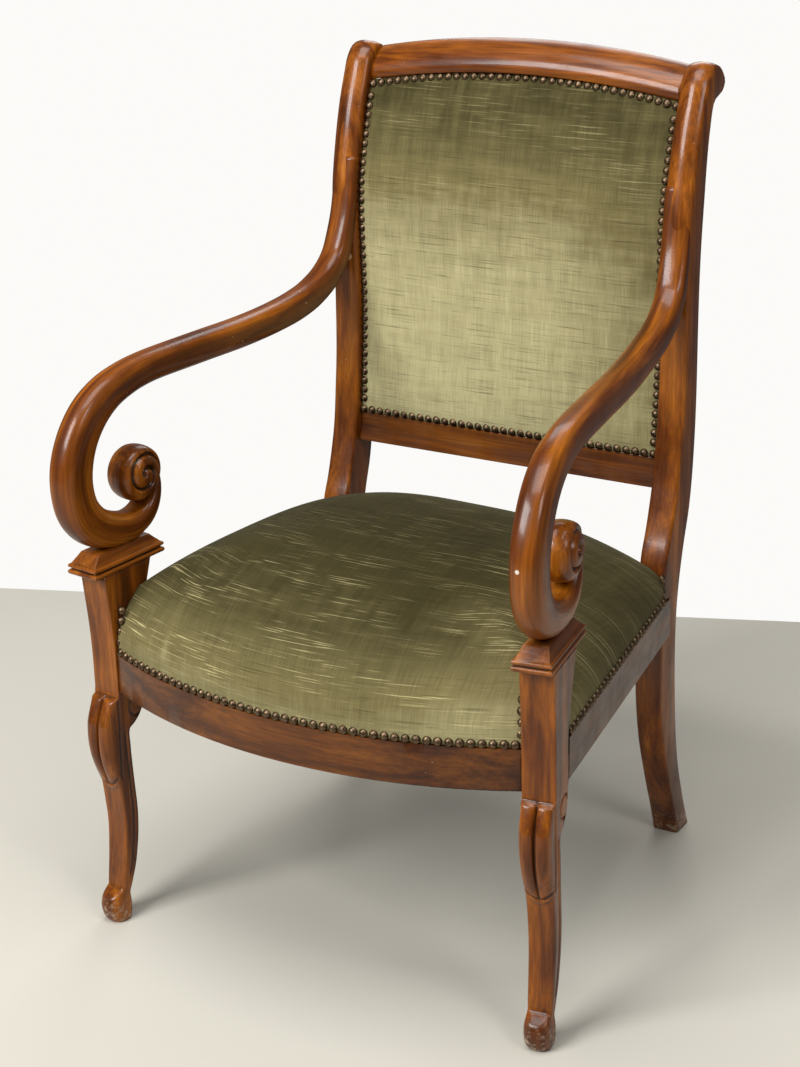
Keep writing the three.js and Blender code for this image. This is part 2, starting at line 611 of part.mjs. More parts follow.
const behindSideRail = block(
  -POST_WIDTH, POST_WIDTH, SEAT_DEPTH / COS + UPRIGHT_WIDTH / 2, 2 * SEAT_DEPTH, 0, UPRIGHT_TOP);
const sideRailBody = sideRailBlank(0).subtract(legKeepOut).subtract(moved(uprightKeepOut, intoSide))
  .subtract(behindSideRail).add(sideTenon(0));

for (const [side, word] of SIDES) {
  const group = sideGroups[side];
  place(group, `front_leg_${word}`, ofSide(legBody, side), WALNUT);
  place(group, `arm_cap_${word}`, ofSide(capBody, side), WALNUT);
  place(group, `arm_${word}`, ofSide(armBody, side), WALNUT);
  place(group, `side_seat_rail_${word}`, ofSide(sideRailBody, side), WALNUT);
  place(group, `arm_post_dowel_${word}`, ofSide(postDowel(0), side), BEECH);
  place(group, `arm_upright_dowel_${word}`, ofSide(uprightDowel(0), side), BEECH);
  place(chair, `back_upright_${word}`, ofSide(uprightBody, side), WALNUT);
}

const bothFrontTenons = inChair(frontTenon(0), 1).add(inChair(frontTenon(0), -1));
const frontRailBody = frontRailBlank(0).subtract(legsInChair).add(bothFrontTenons);
place(chair, 'front_seat_rail', frontRailBody, WALNUT);
place(chair, 'rear_seat_rail', rearRailBlank(0).add(rearTenon(0)), WALNUT);
place(chair, 'back_lower_rail', backRailBlank().add(backRailTenon(0)), WALNUT);
place(chair, 'crest_rail', crestBlank().add(crestTenon(0)), WALNUT);

// Corner blocks fill the angle between two rails.
const sideRailsInChair = inChair(sideRailBlank(GAP), 1).add(inChair(sideRailBlank(GAP), -1));
const aroundBlocks = frontRailBlank(GAP).add(rearRailBlank(GAP)).add(rearTenon(GAP)).add(sideRailsInChair)
  .add(legsInChair).add(uprightsInChair)
  .add(inChair(sideTenon(GAP), 1)).add(inChair(sideTenon(GAP), -1));
const BLOCK_LEG = 72;
const BLOCK_LOW = RAIL_BOTTOM + 12;
const BLOCK_HIGH = RAIL_TOP - 8;
const BLOCK_PAST = 18;         // by which a block is drawn past the rails, which then cut it back
const REAR_PAST = 6;
const frontCorner = [POST_X - POST_HALF - RAIL_THICKNESS / 2, RAIL_THICKNESS / 2];
const cornerBlocks = {
  front: [[frontCorner[0] - BLOCK_LEG, -RAIL_MEETS - BLOCK_PAST], [POST_X, frontCorner[1] - BLOCK_PAST],
    [POST_X - BLOCK_PAST, frontCorner[1] + BLOCK_LEG]],
  rear: [[UPRIGHT_X - BLOCK_LEG, REAR_RAIL_Y + REAR_PAST], [UPRIGHT_X + REAR_PAST, REAR_RAIL_Y - BLOCK_LEG],
    [UPRIGHT_X + REAR_PAST, REAR_RAIL_Y + REAR_PAST]],
};
for (const [where, outline] of Object.entries(cornerBlocks)) {
  const body = prism(outline, BLOCK_LOW, BLOCK_HIGH).subtract(aroundBlocks);
  const largest = body.decompose().sort((a, b) => b.volume() - a.volume())[0];
  for (const [side, word] of SIDES) {
    place(chair, `corner_block_${where}_${word}`, ofSide(largest, side), BEECH);
  }
}

// Seat webbing, springs, canvas, stuffing and covers
const aroundSeat = legsInChair.add(uprightsInChair);
const LONG_STRAP_TOP = RAIL_BOTTOM - GAP;
const CROSS_STRAP_TOP = LONG_STRAP_TOP - STRAP_THICKNESS - GAP;
const DUST_TOP = CROSS_STRAP_TOP - STRAP_THICKNESS - GAP;
const STRAP_INSET = 9;
const DUST_INSET = 6;
const SEAT_MIDDLE = (BOW_CENTRE - BOW_RADIUS + SEAT_BACK) / 2;
const strapField = prism(seatPlan(STRAP_INSET, SEAT_BACK), DUST_TOP, RAIL_BOTTOM).subtract(aroundSeat);
const STRAP_PITCH = STRAP_SPREAD * BACK_SPREAD;
const FAR = 2 * FRONT_SPREAD;
for (const row of [-1, 0, 1]) {
  const x = row * STRAP_PITCH;
  const y = SEAT_MIDDLE + row * STRAP_PITCH;
  const long = block(x - STRAP_WIDTH / 2, x + STRAP_WIDTH / 2, -FAR, FAR,
    LONG_STRAP_TOP - STRAP_THICKNESS, LONG_STRAP_TOP);
  const cross = block(-FAR, FAR, y - STRAP_WIDTH / 2, y + STRAP_WIDTH / 2,
    CROSS_STRAP_TOP - STRAP_THICKNESS, CROSS_STRAP_TOP);
  place(chair, `seat_strap_long_${row + 2}`, long.intersect(strapField), JUTE);
  place(chair, `seat_strap_cross_${row + 2}`, cross.intersect(strapField), JUTE);
}
const dust = prism(seatPlan(DUST_INSET, SEAT_BACK), DUST_TOP - STRAP_THICKNESS, DUST_TOP);
place(chair, 'dust_cover', dust.subtract(aroundSeat), BLACK_CLOTH);

const CANVAS_BOTTOM = RAIL_TOP + GAP;
const CANVAS_TOP = CANVAS_BOTTOM + CANVAS;
class SpringLine extends THREE.Curve {
  getPoint(t, target = new THREE.Vector3()) {
    const low = LONG_STRAP_TOP + GAP + SPRING_WIRE / 2;
    const high = CANVAS_BOTTOM - GAP - SPRING_WIRE / 2;
    const radius = SPRING_WAIST + (SPRING_RADIUS - SPRING_WAIST) * (2 * t - 1) ** 2;
    const angle = 2 * Math.PI * SPRING_TURNS * t;
    return target.set(radius * Math.cos(angle), radius * Math.sin(angle), low + (high - low) * t);
  }
}
function springBlank() {
  const steps = Math.round(9 * SPRING_TURNS);
  const line = new SpringLine();
  const rings = [];
  for (let k = 0; k <= steps; k += 1) {
    const middle = line.getPoint(k / steps);
    const outward = new THREE.Vector3(middle.x, middle.y, 0).normalize();
    const ring = [];
    for (let j = 0; j < 4; j += 1) {
      const angle = (j + 0.5) * Math.PI / 2;
      ring.push(middle.clone().addScaledVector(outward, SPRING_WIRE / 2 * Math.cos(angle))
        .add(new THREE.Vector3(0, 0, SPRING_WIRE / 2 * Math.sin(angle))));
    }
    rings.push(ring);
  }
  return loft(rings);
}
const spring = springBlank();
let springNumber = 0;
for (const column of [-1, 0, 1]) {
  for (const row of [-1, 0, 1]) {
    springNumber += 1;
    const at = new THREE.Matrix4().makeTranslation(column * STRAP_PITCH, SEAT_MIDDLE + row * STRAP_PITCH, 0);
    place(chair, `seat_spring_${springNumber}`, moved(spring, at), STEEL);
  }
}
const CANVAS_INSET = RABBET + 4;
const canvas = prism(seatPlan(CANVAS_INSET, SEAT_BACK - CANVAS_INSET), CANVAS_BOTTOM, CANVAS_TOP);
place(chair, 'seat_canvas', canvas.subtract(aroundSeat), JUTE);

// The domed top: straight sides up to the rails' top, then a full, round crown that falls away
// towards the corners.
const DOME_FULLNESS = 2.4;

function seatDome(inset, low) {
  const plan = seatPlan(inset, SEAT_BACK - inset);
  const shares = [1, 0.985, 0.95, 0.88, 0.77, 0.62, 0.42, 0.2, 0.05];
  const rise = DOME_RISE - inset;
  const slope = (share) => Math.sqrt(1 - Math.min(share, 1) ** DOME_FULLNESS);
  const ringAt = (share, heightOf) => plan.map(([x, y]) => {
    const sideways = Math.abs(x) / (POST_X + POST_HALF - y * SIN / COS);
    const lengthways = Math.abs(y - SEAT_MIDDLE) / (SEAT_BACK - SEAT_MIDDLE);
    const towardsCorner = share * Math.min(sideways, lengthways);
    return new THREE.Vector3(x * share, SEAT_MIDDLE + (y - SEAT_MIDDLE) * share, heightOf(towardsCorner));
  });
  const crown = shares.map((share) => ringAt(
    share, (towardsCorner) => RAIL_TOP + rise * slope(share) * slope(towardsCorner)));
  return loft([ringAt(1, () => low), ...crown]);
}
const COVER_INSET = RABBET - GAP - CLOTH;
const coverLow = COVER_EDGE + GAP;
const cover = seatDome(COVER_INSET, coverLow).subtract(aroundSeat)
  .subtract(seatDome(COVER_INSET + CLOTH, coverLow - OVERLAP));
const belowStuffing = block(-FAR, FAR, -FAR, FAR, 0, CANVAS_TOP + GAP);
const stuffing = seatDome(COVER_INSET + CLOTH + GAP, coverLow).subtract(belowStuffing)
  .subtract(aroundSeat);
place(chair, 'seat_cover', cover, VELVET);
place(chair, 'seat_stuffing', stuffing, HAIR);

// Back panel
const PANEL_HALF = UPRIGHT_INNER - GAP;
const PANEL_ROWS = 14;
const PAD_HALF = PANEL_HALF - BATTEN_WIDTH - GAP;
const LIP_BACK = CLOTH + BACK_PAD;
const OPEN_LOW = BACK_RAIL_TOP + GAP;
const OPEN_HIGH = CREST_LEVEL - GAP;
const WEB_HIGH = OPEN_HIGH - OVERLAP;
const lipLow = BACK_RAIL_TOP + LIP_HEIGHT + GAP;
const lipHigh = WEB_HIGH - LIP_HEIGHT;
const full = { left: -PANEL_HALF, right: PANEL_HALF, columns: ARCH_STEPS, rows: PANEL_ROWS, arched: true };
const inside = { left: -PAD_HALF, right: PAD_HALF, columns: ARCH_STEPS, rows: PANEL_ROWS, arched: true };
place(chair, 'back_cover',
  panelLayer({ ...full, near: 0, far: CLOTH, low: OPEN_LOW, high: OPEN_HIGH }), VELVET);
place(chair, 'back_stuffing',
  panelLayer({ ...inside, near: CLOTH + LAYER_GAP, far: LIP_BACK, low: lipLow, high: lipHigh }), HAIR);
const canvasBack = LIP_BACK + LAYER_GAP + CANVAS;
place(chair, 'back_canvas',
  panelLayer({ ...inside, near: LIP_BACK + LAYER_GAP, far: canvasBack, low: OPEN_LOW, high: WEB_HIGH }),
  JUTE);
const strapBack = canvasBack + LAYER_GAP + STRAP_THICKNESS;
const crossBack = strapBack + LAYER_GAP + STRAP_THICKNESS;
const BACK_STRAP_PITCH_X = 0.26 * BACK_SPREAD;
const BACK_STRAP_PITCH_Z = 0.27 * (CREST_LEVEL - BACK_RAIL_TOP);
for (const row of [-1, 0, 1]) {
  const x = row * BACK_STRAP_PITCH_X;
  const z = (OPEN_LOW + OPEN_HIGH) / 2 + row * BACK_STRAP_PITCH_Z;
  place(chair, `back_strap_long_${row + 2}`, panelLayer({
    left: x - STRAP_WIDTH / 2, right: x + STRAP_WIDTH / 2, near: canvasBack + LAYER_GAP, far: strapBack,
    low: OPEN_LOW, high: WEB_HIGH, columns: 1, rows: PANEL_ROWS, arched: true }), JUTE);
  place(chair, `back_strap_cross_${row + 2}`, panelLayer({
    left: -PAD_HALF, right: PAD_HALF, near: strapBack + LAYER_GAP, far: crossBack,
    low: z - STRAP_WIDTH / 2, high: z + STRAP_WIDTH / 2, columns: 1, rows: 4 }), JUTE);
}
const battenBack = CLOTH + LAYER_GAP + BATTEN_DEPTH;
for (const [side, word] of SIDES) {
  const batten = panelLayer({ left: PAD_HALF + GAP, right: PANEL_HALF, near: CLOTH + LAYER_GAP,
    far: battenBack, low: lipLow, high: lipHigh, columns: 1, rows: PANEL_ROWS, arched: true });
  place(chair, `back_batten_${word}`, ofSide(batten, side), BEECH);
}
const outerFront = battenBack + LAYER_GAP;
place(chair, 'outer_back_cover', panelLayer({ ...full, near: outerFront, far: outerFront + CLOTH,
  low: OPEN_LOW, high: OPEN_HIGH }), VELVET);

// The origin goes to the middle of the box, on the floor.
const box = new THREE.Box3().setFromObject(chair);
chair.position.set(-(box.min.x + box.max.x) / 2, -(box.min.y + box.max.y) / 2, -box.min.z);
const armchair = new THREE.Group();
armchair.add(chair);

export default armchair;
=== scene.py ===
# Old open armchair: polished walnut frame with scroll arms, olive velvet seat and back, bronze nails.
# Lengths are millimetres in the making and metres in the meshes. The sitter faces -Y.
import math

import bmesh
import bpy
import numpy as np
from mathutils import Matrix, Vector


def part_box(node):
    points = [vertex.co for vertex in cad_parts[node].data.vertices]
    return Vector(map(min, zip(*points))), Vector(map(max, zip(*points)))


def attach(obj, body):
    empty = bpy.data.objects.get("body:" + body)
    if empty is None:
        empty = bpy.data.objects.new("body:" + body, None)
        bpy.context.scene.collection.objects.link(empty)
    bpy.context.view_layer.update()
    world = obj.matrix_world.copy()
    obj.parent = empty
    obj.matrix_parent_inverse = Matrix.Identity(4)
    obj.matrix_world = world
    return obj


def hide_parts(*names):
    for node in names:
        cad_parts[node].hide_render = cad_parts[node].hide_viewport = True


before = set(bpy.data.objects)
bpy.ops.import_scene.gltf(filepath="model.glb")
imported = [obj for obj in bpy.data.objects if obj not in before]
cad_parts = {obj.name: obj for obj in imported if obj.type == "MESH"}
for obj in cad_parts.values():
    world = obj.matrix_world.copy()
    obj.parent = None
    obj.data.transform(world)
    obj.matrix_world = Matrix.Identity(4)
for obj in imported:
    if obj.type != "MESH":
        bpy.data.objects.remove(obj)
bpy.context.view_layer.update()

MM = 0.001

# Sizes shared with the part
FRONT_SPREAD = 525
BACK_SPREAD = 425
SEAT_DEPTH = 364
RAIL_TOP = 351
COVER_EDGE = 335
POST_TOP = 430
CAP_TOP = 454.3
BACK_RAIL_TOP = 489
CREST_LEVEL = 885
CREST_RISE = 18
UPRIGHT_WIDTH = 33
POST_HALF = 18
RAIL_MEETS = 29
FRONT_BOW = 57
SEAT_BACK = 392
DOME_RISE = 114
DOME_FULLNESS = 2.4
CLOTH = 2
COVER_INSET = 2.7
PANEL_SETBACK = 11
DOWEL_AHEAD = 4

POST_X = FRONT_SPREAD / 2
UPRIGHT_INNER = BACK_SPREAD / 2 - UPRIGHT_WIDTH / 2
SPLAY = math.atan2(POST_X - BACK_SPREAD / 2, SEAT_DEPTH + UPRIGHT_WIDTH / 2)
COS = math.cos(SPLAY)
SIN = math.sin(SPLAY)
HALF_CHORD = POST_X - POST_HALF * COS + RAIL_MEETS * SIN
BOW_RADIUS = (HALF_CHORD ** 2 + FRONT_BOW ** 2) / (2 * FRONT_BOW)
BOW_CENTRE = BOW_RADIUS - FRONT_BOW - POST_HALF * SIN - RAIL_MEETS * COS
SEAT_MIDDLE = (BOW_CENTRE - BOW_RADIUS + SEAT_BACK) / 2

# The posts' middle is at y = 0 in the making, and is found in the frame by the dowel that stands there.
DOWEL_LOW, DOWEL_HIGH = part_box("arm_post_dowel_left")
POST_Y = (DOWEL_LOW.y + DOWEL_HIGH.y) / 2 / MM + DOWEL_AHEAD * COS


# Curves
def smooth_line(points):
    """A smooth line through (along, across) points, as a function of along."""
    p = np.array(points, float)
    n = len(p)
    before = p[np.maximum(np.arange(n) - 1, 0)]
    after = p[np.minimum(np.arange(n) + 1, n - 1)]
    slope = (after[:, 1] - before[:, 1]) / (after[:, 0] - before[:, 0])

    def value(along):
        x = np.asarray(along, float)
        i = np.clip(np.searchsorted(p[:, 0], x, side="left") - 1, 0, n - 2)
        span = p[i + 1, 0] - p[i, 0]
        t = np.clip((x - p[i, 0]) / span, 0, 1)
        rise = p[i + 1, 1] - p[i, 1]
        bend = (1 - t) * (slope[i] * span - rise) - t * (slope[i + 1] * span - rise)
        return p[i, 1] + t * rise + t * (1 - t) * bend

    return value


def smooth_path(points, count):
    """Even samples of a smooth path through points; columns past the second are carried along."""
    p = np.array(points, float)
    p = np.vstack([2 * p[0] - p[1], p, 2 * p[-1] - p[-2]])
    step = np.sqrt(np.linalg.norm(np.diff(p[:, :2], axis=0), axis=1))
    t = np.concatenate([[0], np.cumsum(step)])
    x = np.linspace(t[1], t[-2] - 1e-9, 30 * len(points))
    i = np.clip(np.searchsorted(t, x, side="right") - 1, 1, len(t) - 3)
    t0, t1, t2, t3 = (t[i + k][:, None] for k in (-1, 0, 1, 2))
    p0, p1, p2, p3 = (p[i + k] for k in (-1, 0, 1, 2))
    x = x[:, None]
    a1 = (t1 - x) / (t1 - t0) * p0 + (x - t0) / (t1 - t0) * p1
    a2 = (t2 - x) / (t2 - t1) * p1 + (x - t1) / (t2 - t1) * p2
    a3 = (t3 - x) / (t3 - t2) * p2 + (x - t2) / (t3 - t2) * p3
    b1 = (t2 - x) / (t2 - t0) * a1 + (x - t0) / (t2 - t0) * a2
    b2 = (t3 - x) / (t3 - t1) * a2 + (x - t1) / (t3 - t1) * a3
    dense = (t2 - x) / (t2 - t1) * b1 + (x - t1) / (t2 - t1) * b2
    run = np.concatenate([[0], np.cumsum(np.linalg.norm(np.diff(dense[:, :2], axis=0), axis=1))])
    at = np.linspace(0, run[-1], count)
    return np.stack([np.interp(at, run, dense[:, k]) for k in range(dense.shape[1])], axis=1)


def ease(low, high, x):
    t = np.clip((x - low) / (high - low), 0, 1)
    return t * t * (3 - 2 * t)


# Meshes
def skin_faces(rows, columns, around, caps):
    faces = []
    last = columns if around else columns - 1
    for r in range(rows - 1):
        for c in range(last):
            d = (c + 1) % columns
            faces.append((r * columns + c, r * columns + d, (r + 1) * columns + d, (r + 1) * columns + c))
    if caps:
        faces.append(tuple(range(columns)))
        faces.append(tuple(range((rows - 1) * columns, rows * columns)))
    return faces


def side_place(points, side):
    """Points (outward, back, up) in the side's frame, put in the chair's frame."""
    u, v, z = points[:, 0], points[:, 1], points[:, 2]
    return np.stack([side * (POST_X + u * COS - v * SIN), u * SIN + v * COS, z], axis=1)


def relief(mesh):
    """Stores how hollow (above zero) or proud (below zero) the surface is at each point."""
    n = len(mesh.vertices)
    co = np.zeros(n * 3)
    no = np.zeros(n * 3)
    mesh.vertices.foreach_get("co", co)
    mesh.vertices.foreach_get("normal", no)
    co, no = co.reshape(-1, 3), no.reshape(-1, 3)
    ends = np.zeros(len(mesh.edges) * 2, int)
    mesh.edges.foreach_get("vertices", ends)
    a, b = ends.reshape(-1, 2).T
    d = co[b] - co[a]
    far = np.maximum((d ** 2).sum(1), 1e-10)
    bend = np.zeros(n)
    count = np.zeros(n)
    np.add.at(bend, a, (no[a] * d).sum(1) / far)
    np.add.at(bend, b, -(no[b] * d).sum(1) / far)
    np.add.at(count, a, 1)
    np.add.at(count, b, 1)
    bend /= np.maximum(count, 1)
    for _ in range(2):
        mean = np.zeros(n)
        np.add.at(mean, a, bend[b])
        np.add.at(mean, b, bend[a])
        bend = 0.5 * bend + 0.5 * mean / np.maximum(count, 1)
    mesh.attributes.new("relief", "FLOAT", "POINT").data.foreach_set("value", bend.astype(np.float32))


def make_piece(name, points, faces, material, nodes=(), grain=None, painted_sheen=None):
    """A smooth-shaded mesh piece from points in the chair's making frame, riding on the chair."""
    placed = np.array(points, float)
    placed[:, 1] += POST_Y
    mesh = bpy.data.meshes.new(name)
    mesh.from_pydata((placed * MM).tolist(), [], faces)
    work = bmesh.new()
    work.from_mesh(mesh)
    bmesh.ops.recalc_face_normals(work, faces=work.faces)
    work.to_mesh(mesh)
    work.free()
    mesh.shade_smooth()
    lines = np.array(points if grain is None else grain, float) * MM
    mesh.attributes.new("grain", "FLOAT_VECTOR", "POINT").data.foreach_set(
        "vector", lines.astype(np.float32).ravel())
    if painted_sheen is not None:
        mesh.attributes.new("painted_sheen", "FLOAT", "POINT").data.foreach_set("value", painted_sheen.astype(np.float32))
    relief(mesh)
    mesh.materials.append(material)
    piece = bpy.data.objects.new(name, mesh)
    bpy.context.scene.collection.objects.link(piece)
    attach(piece, "root")
    if nodes:
        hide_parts(*nodes)
    return piece


# Materials
def make_node(tree, kind, settings=None, **sockets):
    node = tree.nodes.new(kind)
    for key, value in (settings or {}).items():
        setattr(node, key, value)
    for key, value in sockets.items():
        socket = node.inputs[int(key[1:])] if key[0] == "_" else node.inputs[key.replace("_", " ")]
        if isinstance(value, bpy.types.NodeSocket):
            tree.links.new(value, socket)
        else:
            socket.default_value = value
    return node


def blend(tree, factor, a, b, mode="MIX"):
    settings = {"data_type": "RGBA", "blend_type": mode}
    return make_node(tree, "ShaderNodeMix", settings, _0=factor, _6=a, _7=b).outputs[2]


def span(tree, value, low, high, to_low=0.0, to_high=1.0):
    return make_node(tree, "ShaderNodeMapRange", None, Value=value, From_Min=low, From_Max=high,
                     To_Min=to_low, To_Max=to_high).outputs[0]


def ramp(tree, value, stops):
    node = make_node(tree, "ShaderNodeValToRGB", None, Fac=value)
    while len(node.color_ramp.elements) < len(stops):
        node.color_ramp.elements.new(0.5)
    for element, (place, colour) in zip(node.color_ramp.elements, stops):
        element.position = place
        element.color = (*colour, 1)
    return node.outputs[0]


def stretched(tree, vector, scale):
    return make_node(tree, "ShaderNodeMapping", None, Vector=vector, Scale=scale).outputs[0]


def noise(tree, vector, scale, detail=3.0, roughness=0.55, distortion=0.0):
    return make_node(tree, "ShaderNodeTexNoise", None, Vector=vector, Scale=scale, Detail=detail,
                     Roughness=roughness, Distortion=distortion).outputs[0]


def new_material(name):
    material = bpy.data.materials.new(name)
    material.use_nodes = True
    tree = material.node_tree
    return material, tree, tree.nodes["Principled BSDF"]


# A pale chip on the front of the left arm's crook
CHIP_PLACE = side_place(np.array([[-4.5, -80.0, 547.0]]), 1)[0] + np.array([0, POST_Y, 0])
CHIP_PLACE = tuple(CHIP_PLACE * MM)


def walnut(name, along, depth, grain_name=""):
    """Stained and varnished walnut: streaks along the grain, painted shade and dirt in hollows, rubbed edges,
    small nicks.
    """
    material, tree, shader = new_material(name)
    place = make_node(tree, "ShaderNodeTexCoord").outputs["Object"]
    grain = place
    if grain_name:
        grain = make_node(tree, "ShaderNodeAttribute", {"attribute_name": grain_name}).outputs["Vector"]
    band_scale = [4.0 if axis == along else 52.0 for axis in "XYZ"]
    fibre_scale = [16.0 if axis == along else 430.0 for axis in "XYZ"]
    bands = noise(tree, stretched(tree, grain, band_scale), 1.0, 4.0, 0.55, 0.6)
    fibres = noise(tree, stretched(tree, grain, fibre_scale), 1.0, 5.0, 0.6)
    clouds = noise(tree, place, 11.0, 3.0)
    tone = make_node(tree, "ShaderNodeMath", {"operation": "MULTIPLY_ADD"}, _0=clouds, _1=0.4, _2=bands)
    colour = ramp(tree, span(tree, tone.outputs[0], 0.38, 1.02), [
        (0.0, (0.022, 0.0045, 0.0004)), (0.35, (0.085, 0.019, 0.0008)),
        (0.65, (0.185, 0.05, 0.0022)), (1.0, (0.33, 0.105, 0.008))])
    # depth scales the whole colour: lit and shaded copies of one walnut, a painted light and shade level.
    streak = span(tree, fibres, 0.35, 0.65, 0.68 * depth, 1.12 * depth)
    colour = blend(tree, 1.0, colour, streak, "MULTIPLY")
    hollow = make_node(tree, "ShaderNodeAttribute", {"attribute_name": "relief"}).outputs["Fac"]
    # Hollows are painted near black: painted shade standing in for shading there, with some dirt.
    hollow_shade_and_dirt = span(tree, hollow, 4, 80, 0.0, 0.92)
    colour = blend(tree, hollow_shade_and_dirt, colour, (0.012, 0.005, 0.003, 1))
    worn = span(tree, hollow, -70, -260, 0.0, 0.5)
    patchy = span(tree, noise(tree, place, 45.0, 3.0), 0.42, 0.62)
    wear = make_node(tree, "ShaderNodeMath", {"operation": "MULTIPLY"}, _0=worn, _1=patchy).outputs[0]
    colour = blend(tree, wear, colour, (0.42, 0.2, 0.075, 1))
    specks = make_node(tree, "ShaderNodeTexVoronoi", None, Vector=place, Scale=95.0).outputs["Distance"]
    nick = make_node(tree, "ShaderNodeMath", {"operation": "MULTIPLY"},
                     _0=span(tree, specks, 0.085, 0.06), _1=span(tree, noise(tree, place, 23.0), 0.63, 0.67))
    colour = blend(tree, nick.outputs[0], colour, (0.55, 0.42, 0.28, 1))
    from_chip = make_node(tree, "ShaderNodeVectorMath", {"operation": "DISTANCE"}, _0=place, _1=CHIP_PLACE)
    chip = span(tree, from_chip.outputs["Value"], 0.0026, 0.0016)
    colour = blend(tree, chip, colour, (0.72, 0.64, 0.53, 1))
    height = make_node(tree, "ShaderNodeSeparateXYZ", None, Vector=place).outputs["Z"]
    scuff = make_node(tree, "ShaderNodeMath", {"operation": "MULTIPLY"},
                      _0=span(tree, height, 0.036, 0.012),
                      _1=span(tree, noise(tree, place, 160.0, 4.0), 0.5, 0.66))
    colour = blend(tree, scuff.outputs[0], colour, (0.38, 0.27, 0.17, 1))
    tree.links.new(colour, shader.inputs["Base Color"])
    tree.links.new(span(tree, noise(tree, place, 30.0), 0.3, 0.7, 0.26, 0.46), shader.inputs["Roughness"])
    shader.inputs["Specular IOR Level"].default_value = 0.22
    shader.inputs["Coat Weight"].default_value = 0.32
    shader.inputs["Coat Roughness"].default_value = 0.13
    bump = make_node(tree, "ShaderNodeBump", None, Strength=0.16, Distance=0.0006, Height=fibres)
    tree.links.new(bump.outputs[0], shader.inputs["Normal"])
    return material


def velvet(name, pale_share, brush):
    """Olive slub velvet: pale threads along the width, cross weave, paler where painted sheen is put and
    darker where it is low.
    """
    material, tree, shader = new_material(name)
    thread = make_node(tree, "ShaderNodeAttribute", {"attribute_name": "grain"}).outputs["Vector"]
    # A painted light and shade map per point: high is pale painted sheen, low is painted shade.
    painted_sheen = make_node(tree, "ShaderNodeAttribute", {"attribute_name": "painted_sheen"}).outputs["Fac"]
    across = noise(tree, stretched(tree, thread, (9, 62, 1)), 1.0, 4.0, 0.6)
    upward = noise(tree, stretched(tree, thread, (72, 12, 1)), 1.0, 4.0, 0.6)
    brushed = make_node(tree, "ShaderNodeMath", {"operation": "ADD"}, _0=across, _1=upward).outputs[0]
    uneven = make_node(tree, "ShaderNodeMath", {"operation": "SUBTRACT"}, _0=brushed, _1=1.0).outputs[0]
    tone = make_node(tree, "ShaderNodeMath", {"operation": "MULTIPLY_ADD"}, _0=uneven, _1=brush, _2=painted_sheen)
    colour = ramp(tree, tone.outputs[0], [
        (0.0, (0.009, 0.007, 0.0015)), (0.25, (0.042, 0.034, 0.0095)),
        (0.6, (0.165, 0.137, 0.055)), (1.0, (0.45, 0.405, 0.215))])
    weft = noise(tree, stretched(tree, thread, (17, 620, 1)), 1.0, 2.0, 0.5)
    slub = span(tree, weft, 0.59, 0.66)
    gate = span(tree, noise(tree, stretched(tree, thread, (7, 24, 1)), 1.0, 2.0), 0.43, 0.6)
    streak = make_node(tree, "ShaderNodeMath", {"operation": "MULTIPLY"}, _0=slub, _1=gate).outputs[0]
    # The pale slub threads show more where the painted sheen is high.
    share = span(tree, painted_sheen, 0.13, 0.4, 0.25 * pale_share, pale_share)
    streak = make_node(tree, "ShaderNodeMath", {"operation": "MULTIPLY"}, _0=streak, _1=share).outputs[0]
    colour = blend(tree, streak, colour, (0.5, 0.43, 0.215, 1))
    dark = span(tree, weft, 0.41, 0.31, 0.0, 0.5)
    colour = blend(tree, dark, colour, (0.04, 0.034, 0.011, 1))
    warp = noise(tree, stretched(tree, thread, (700, 30, 1)), 1.0, 2.0)
    colour = blend(tree, 1.0, colour, span(tree, warp, 0.3, 0.7, 0.86, 1.12), "MULTIPLY")
    tree.links.new(colour, shader.inputs["Base Color"])
    shader.inputs["Roughness"].default_value = 0.85
    shader.inputs["Specular IOR Level"].default_value = 0.15
    shader.inputs["Sheen Weight"].default_value = 0.12
    shader.inputs["Sheen Roughness"].default_value = 0.35
    shader.inputs["Sheen Tint"].default_value = (0.75, 0.7, 0.45, 1)
    height = make_node(tree, "ShaderNodeMath", {"operation": "ADD"}, _0=weft, _1=warp).outputs[0]
    bump = make_node(tree, "ShaderNodeBump", None, Strength=0.35, Distance=0.0008, Height=height)
    tree.links.new(bump.outputs[0], shader.inputs["Normal"])
    return material


def speckled(name, dark, light, scale, roughness, metallic=0.0, stretch=(1, 1, 1)):
    """A plain finish with a fine mottle: cloth, bare wood, wire or bronze."""
    material, tree, shader = new_material(name)
    place = make_node(tree, "ShaderNodeTexCoord").outputs["Object"]
    mottle = noise(tree, stretched(tree, place, stretch), scale, 4.0, 0.6)
    tree.links.new(ramp(tree, span(tree, mottle, 0.3, 0.7), [(0.0, dark), (1.0, light)]),
                   shader.inputs["Base Color"])
    shader.inputs["Roughness"].default_value = roughness
    shader.inputs["Metallic"].default_value = metallic
    bump = make_node(tree, "ShaderNodeBump", None, Strength=0.25, Distance=0.0006, Height=mottle)
    tree.links.new(bump.outputs[0], shader.inputs["Normal"])
    return material


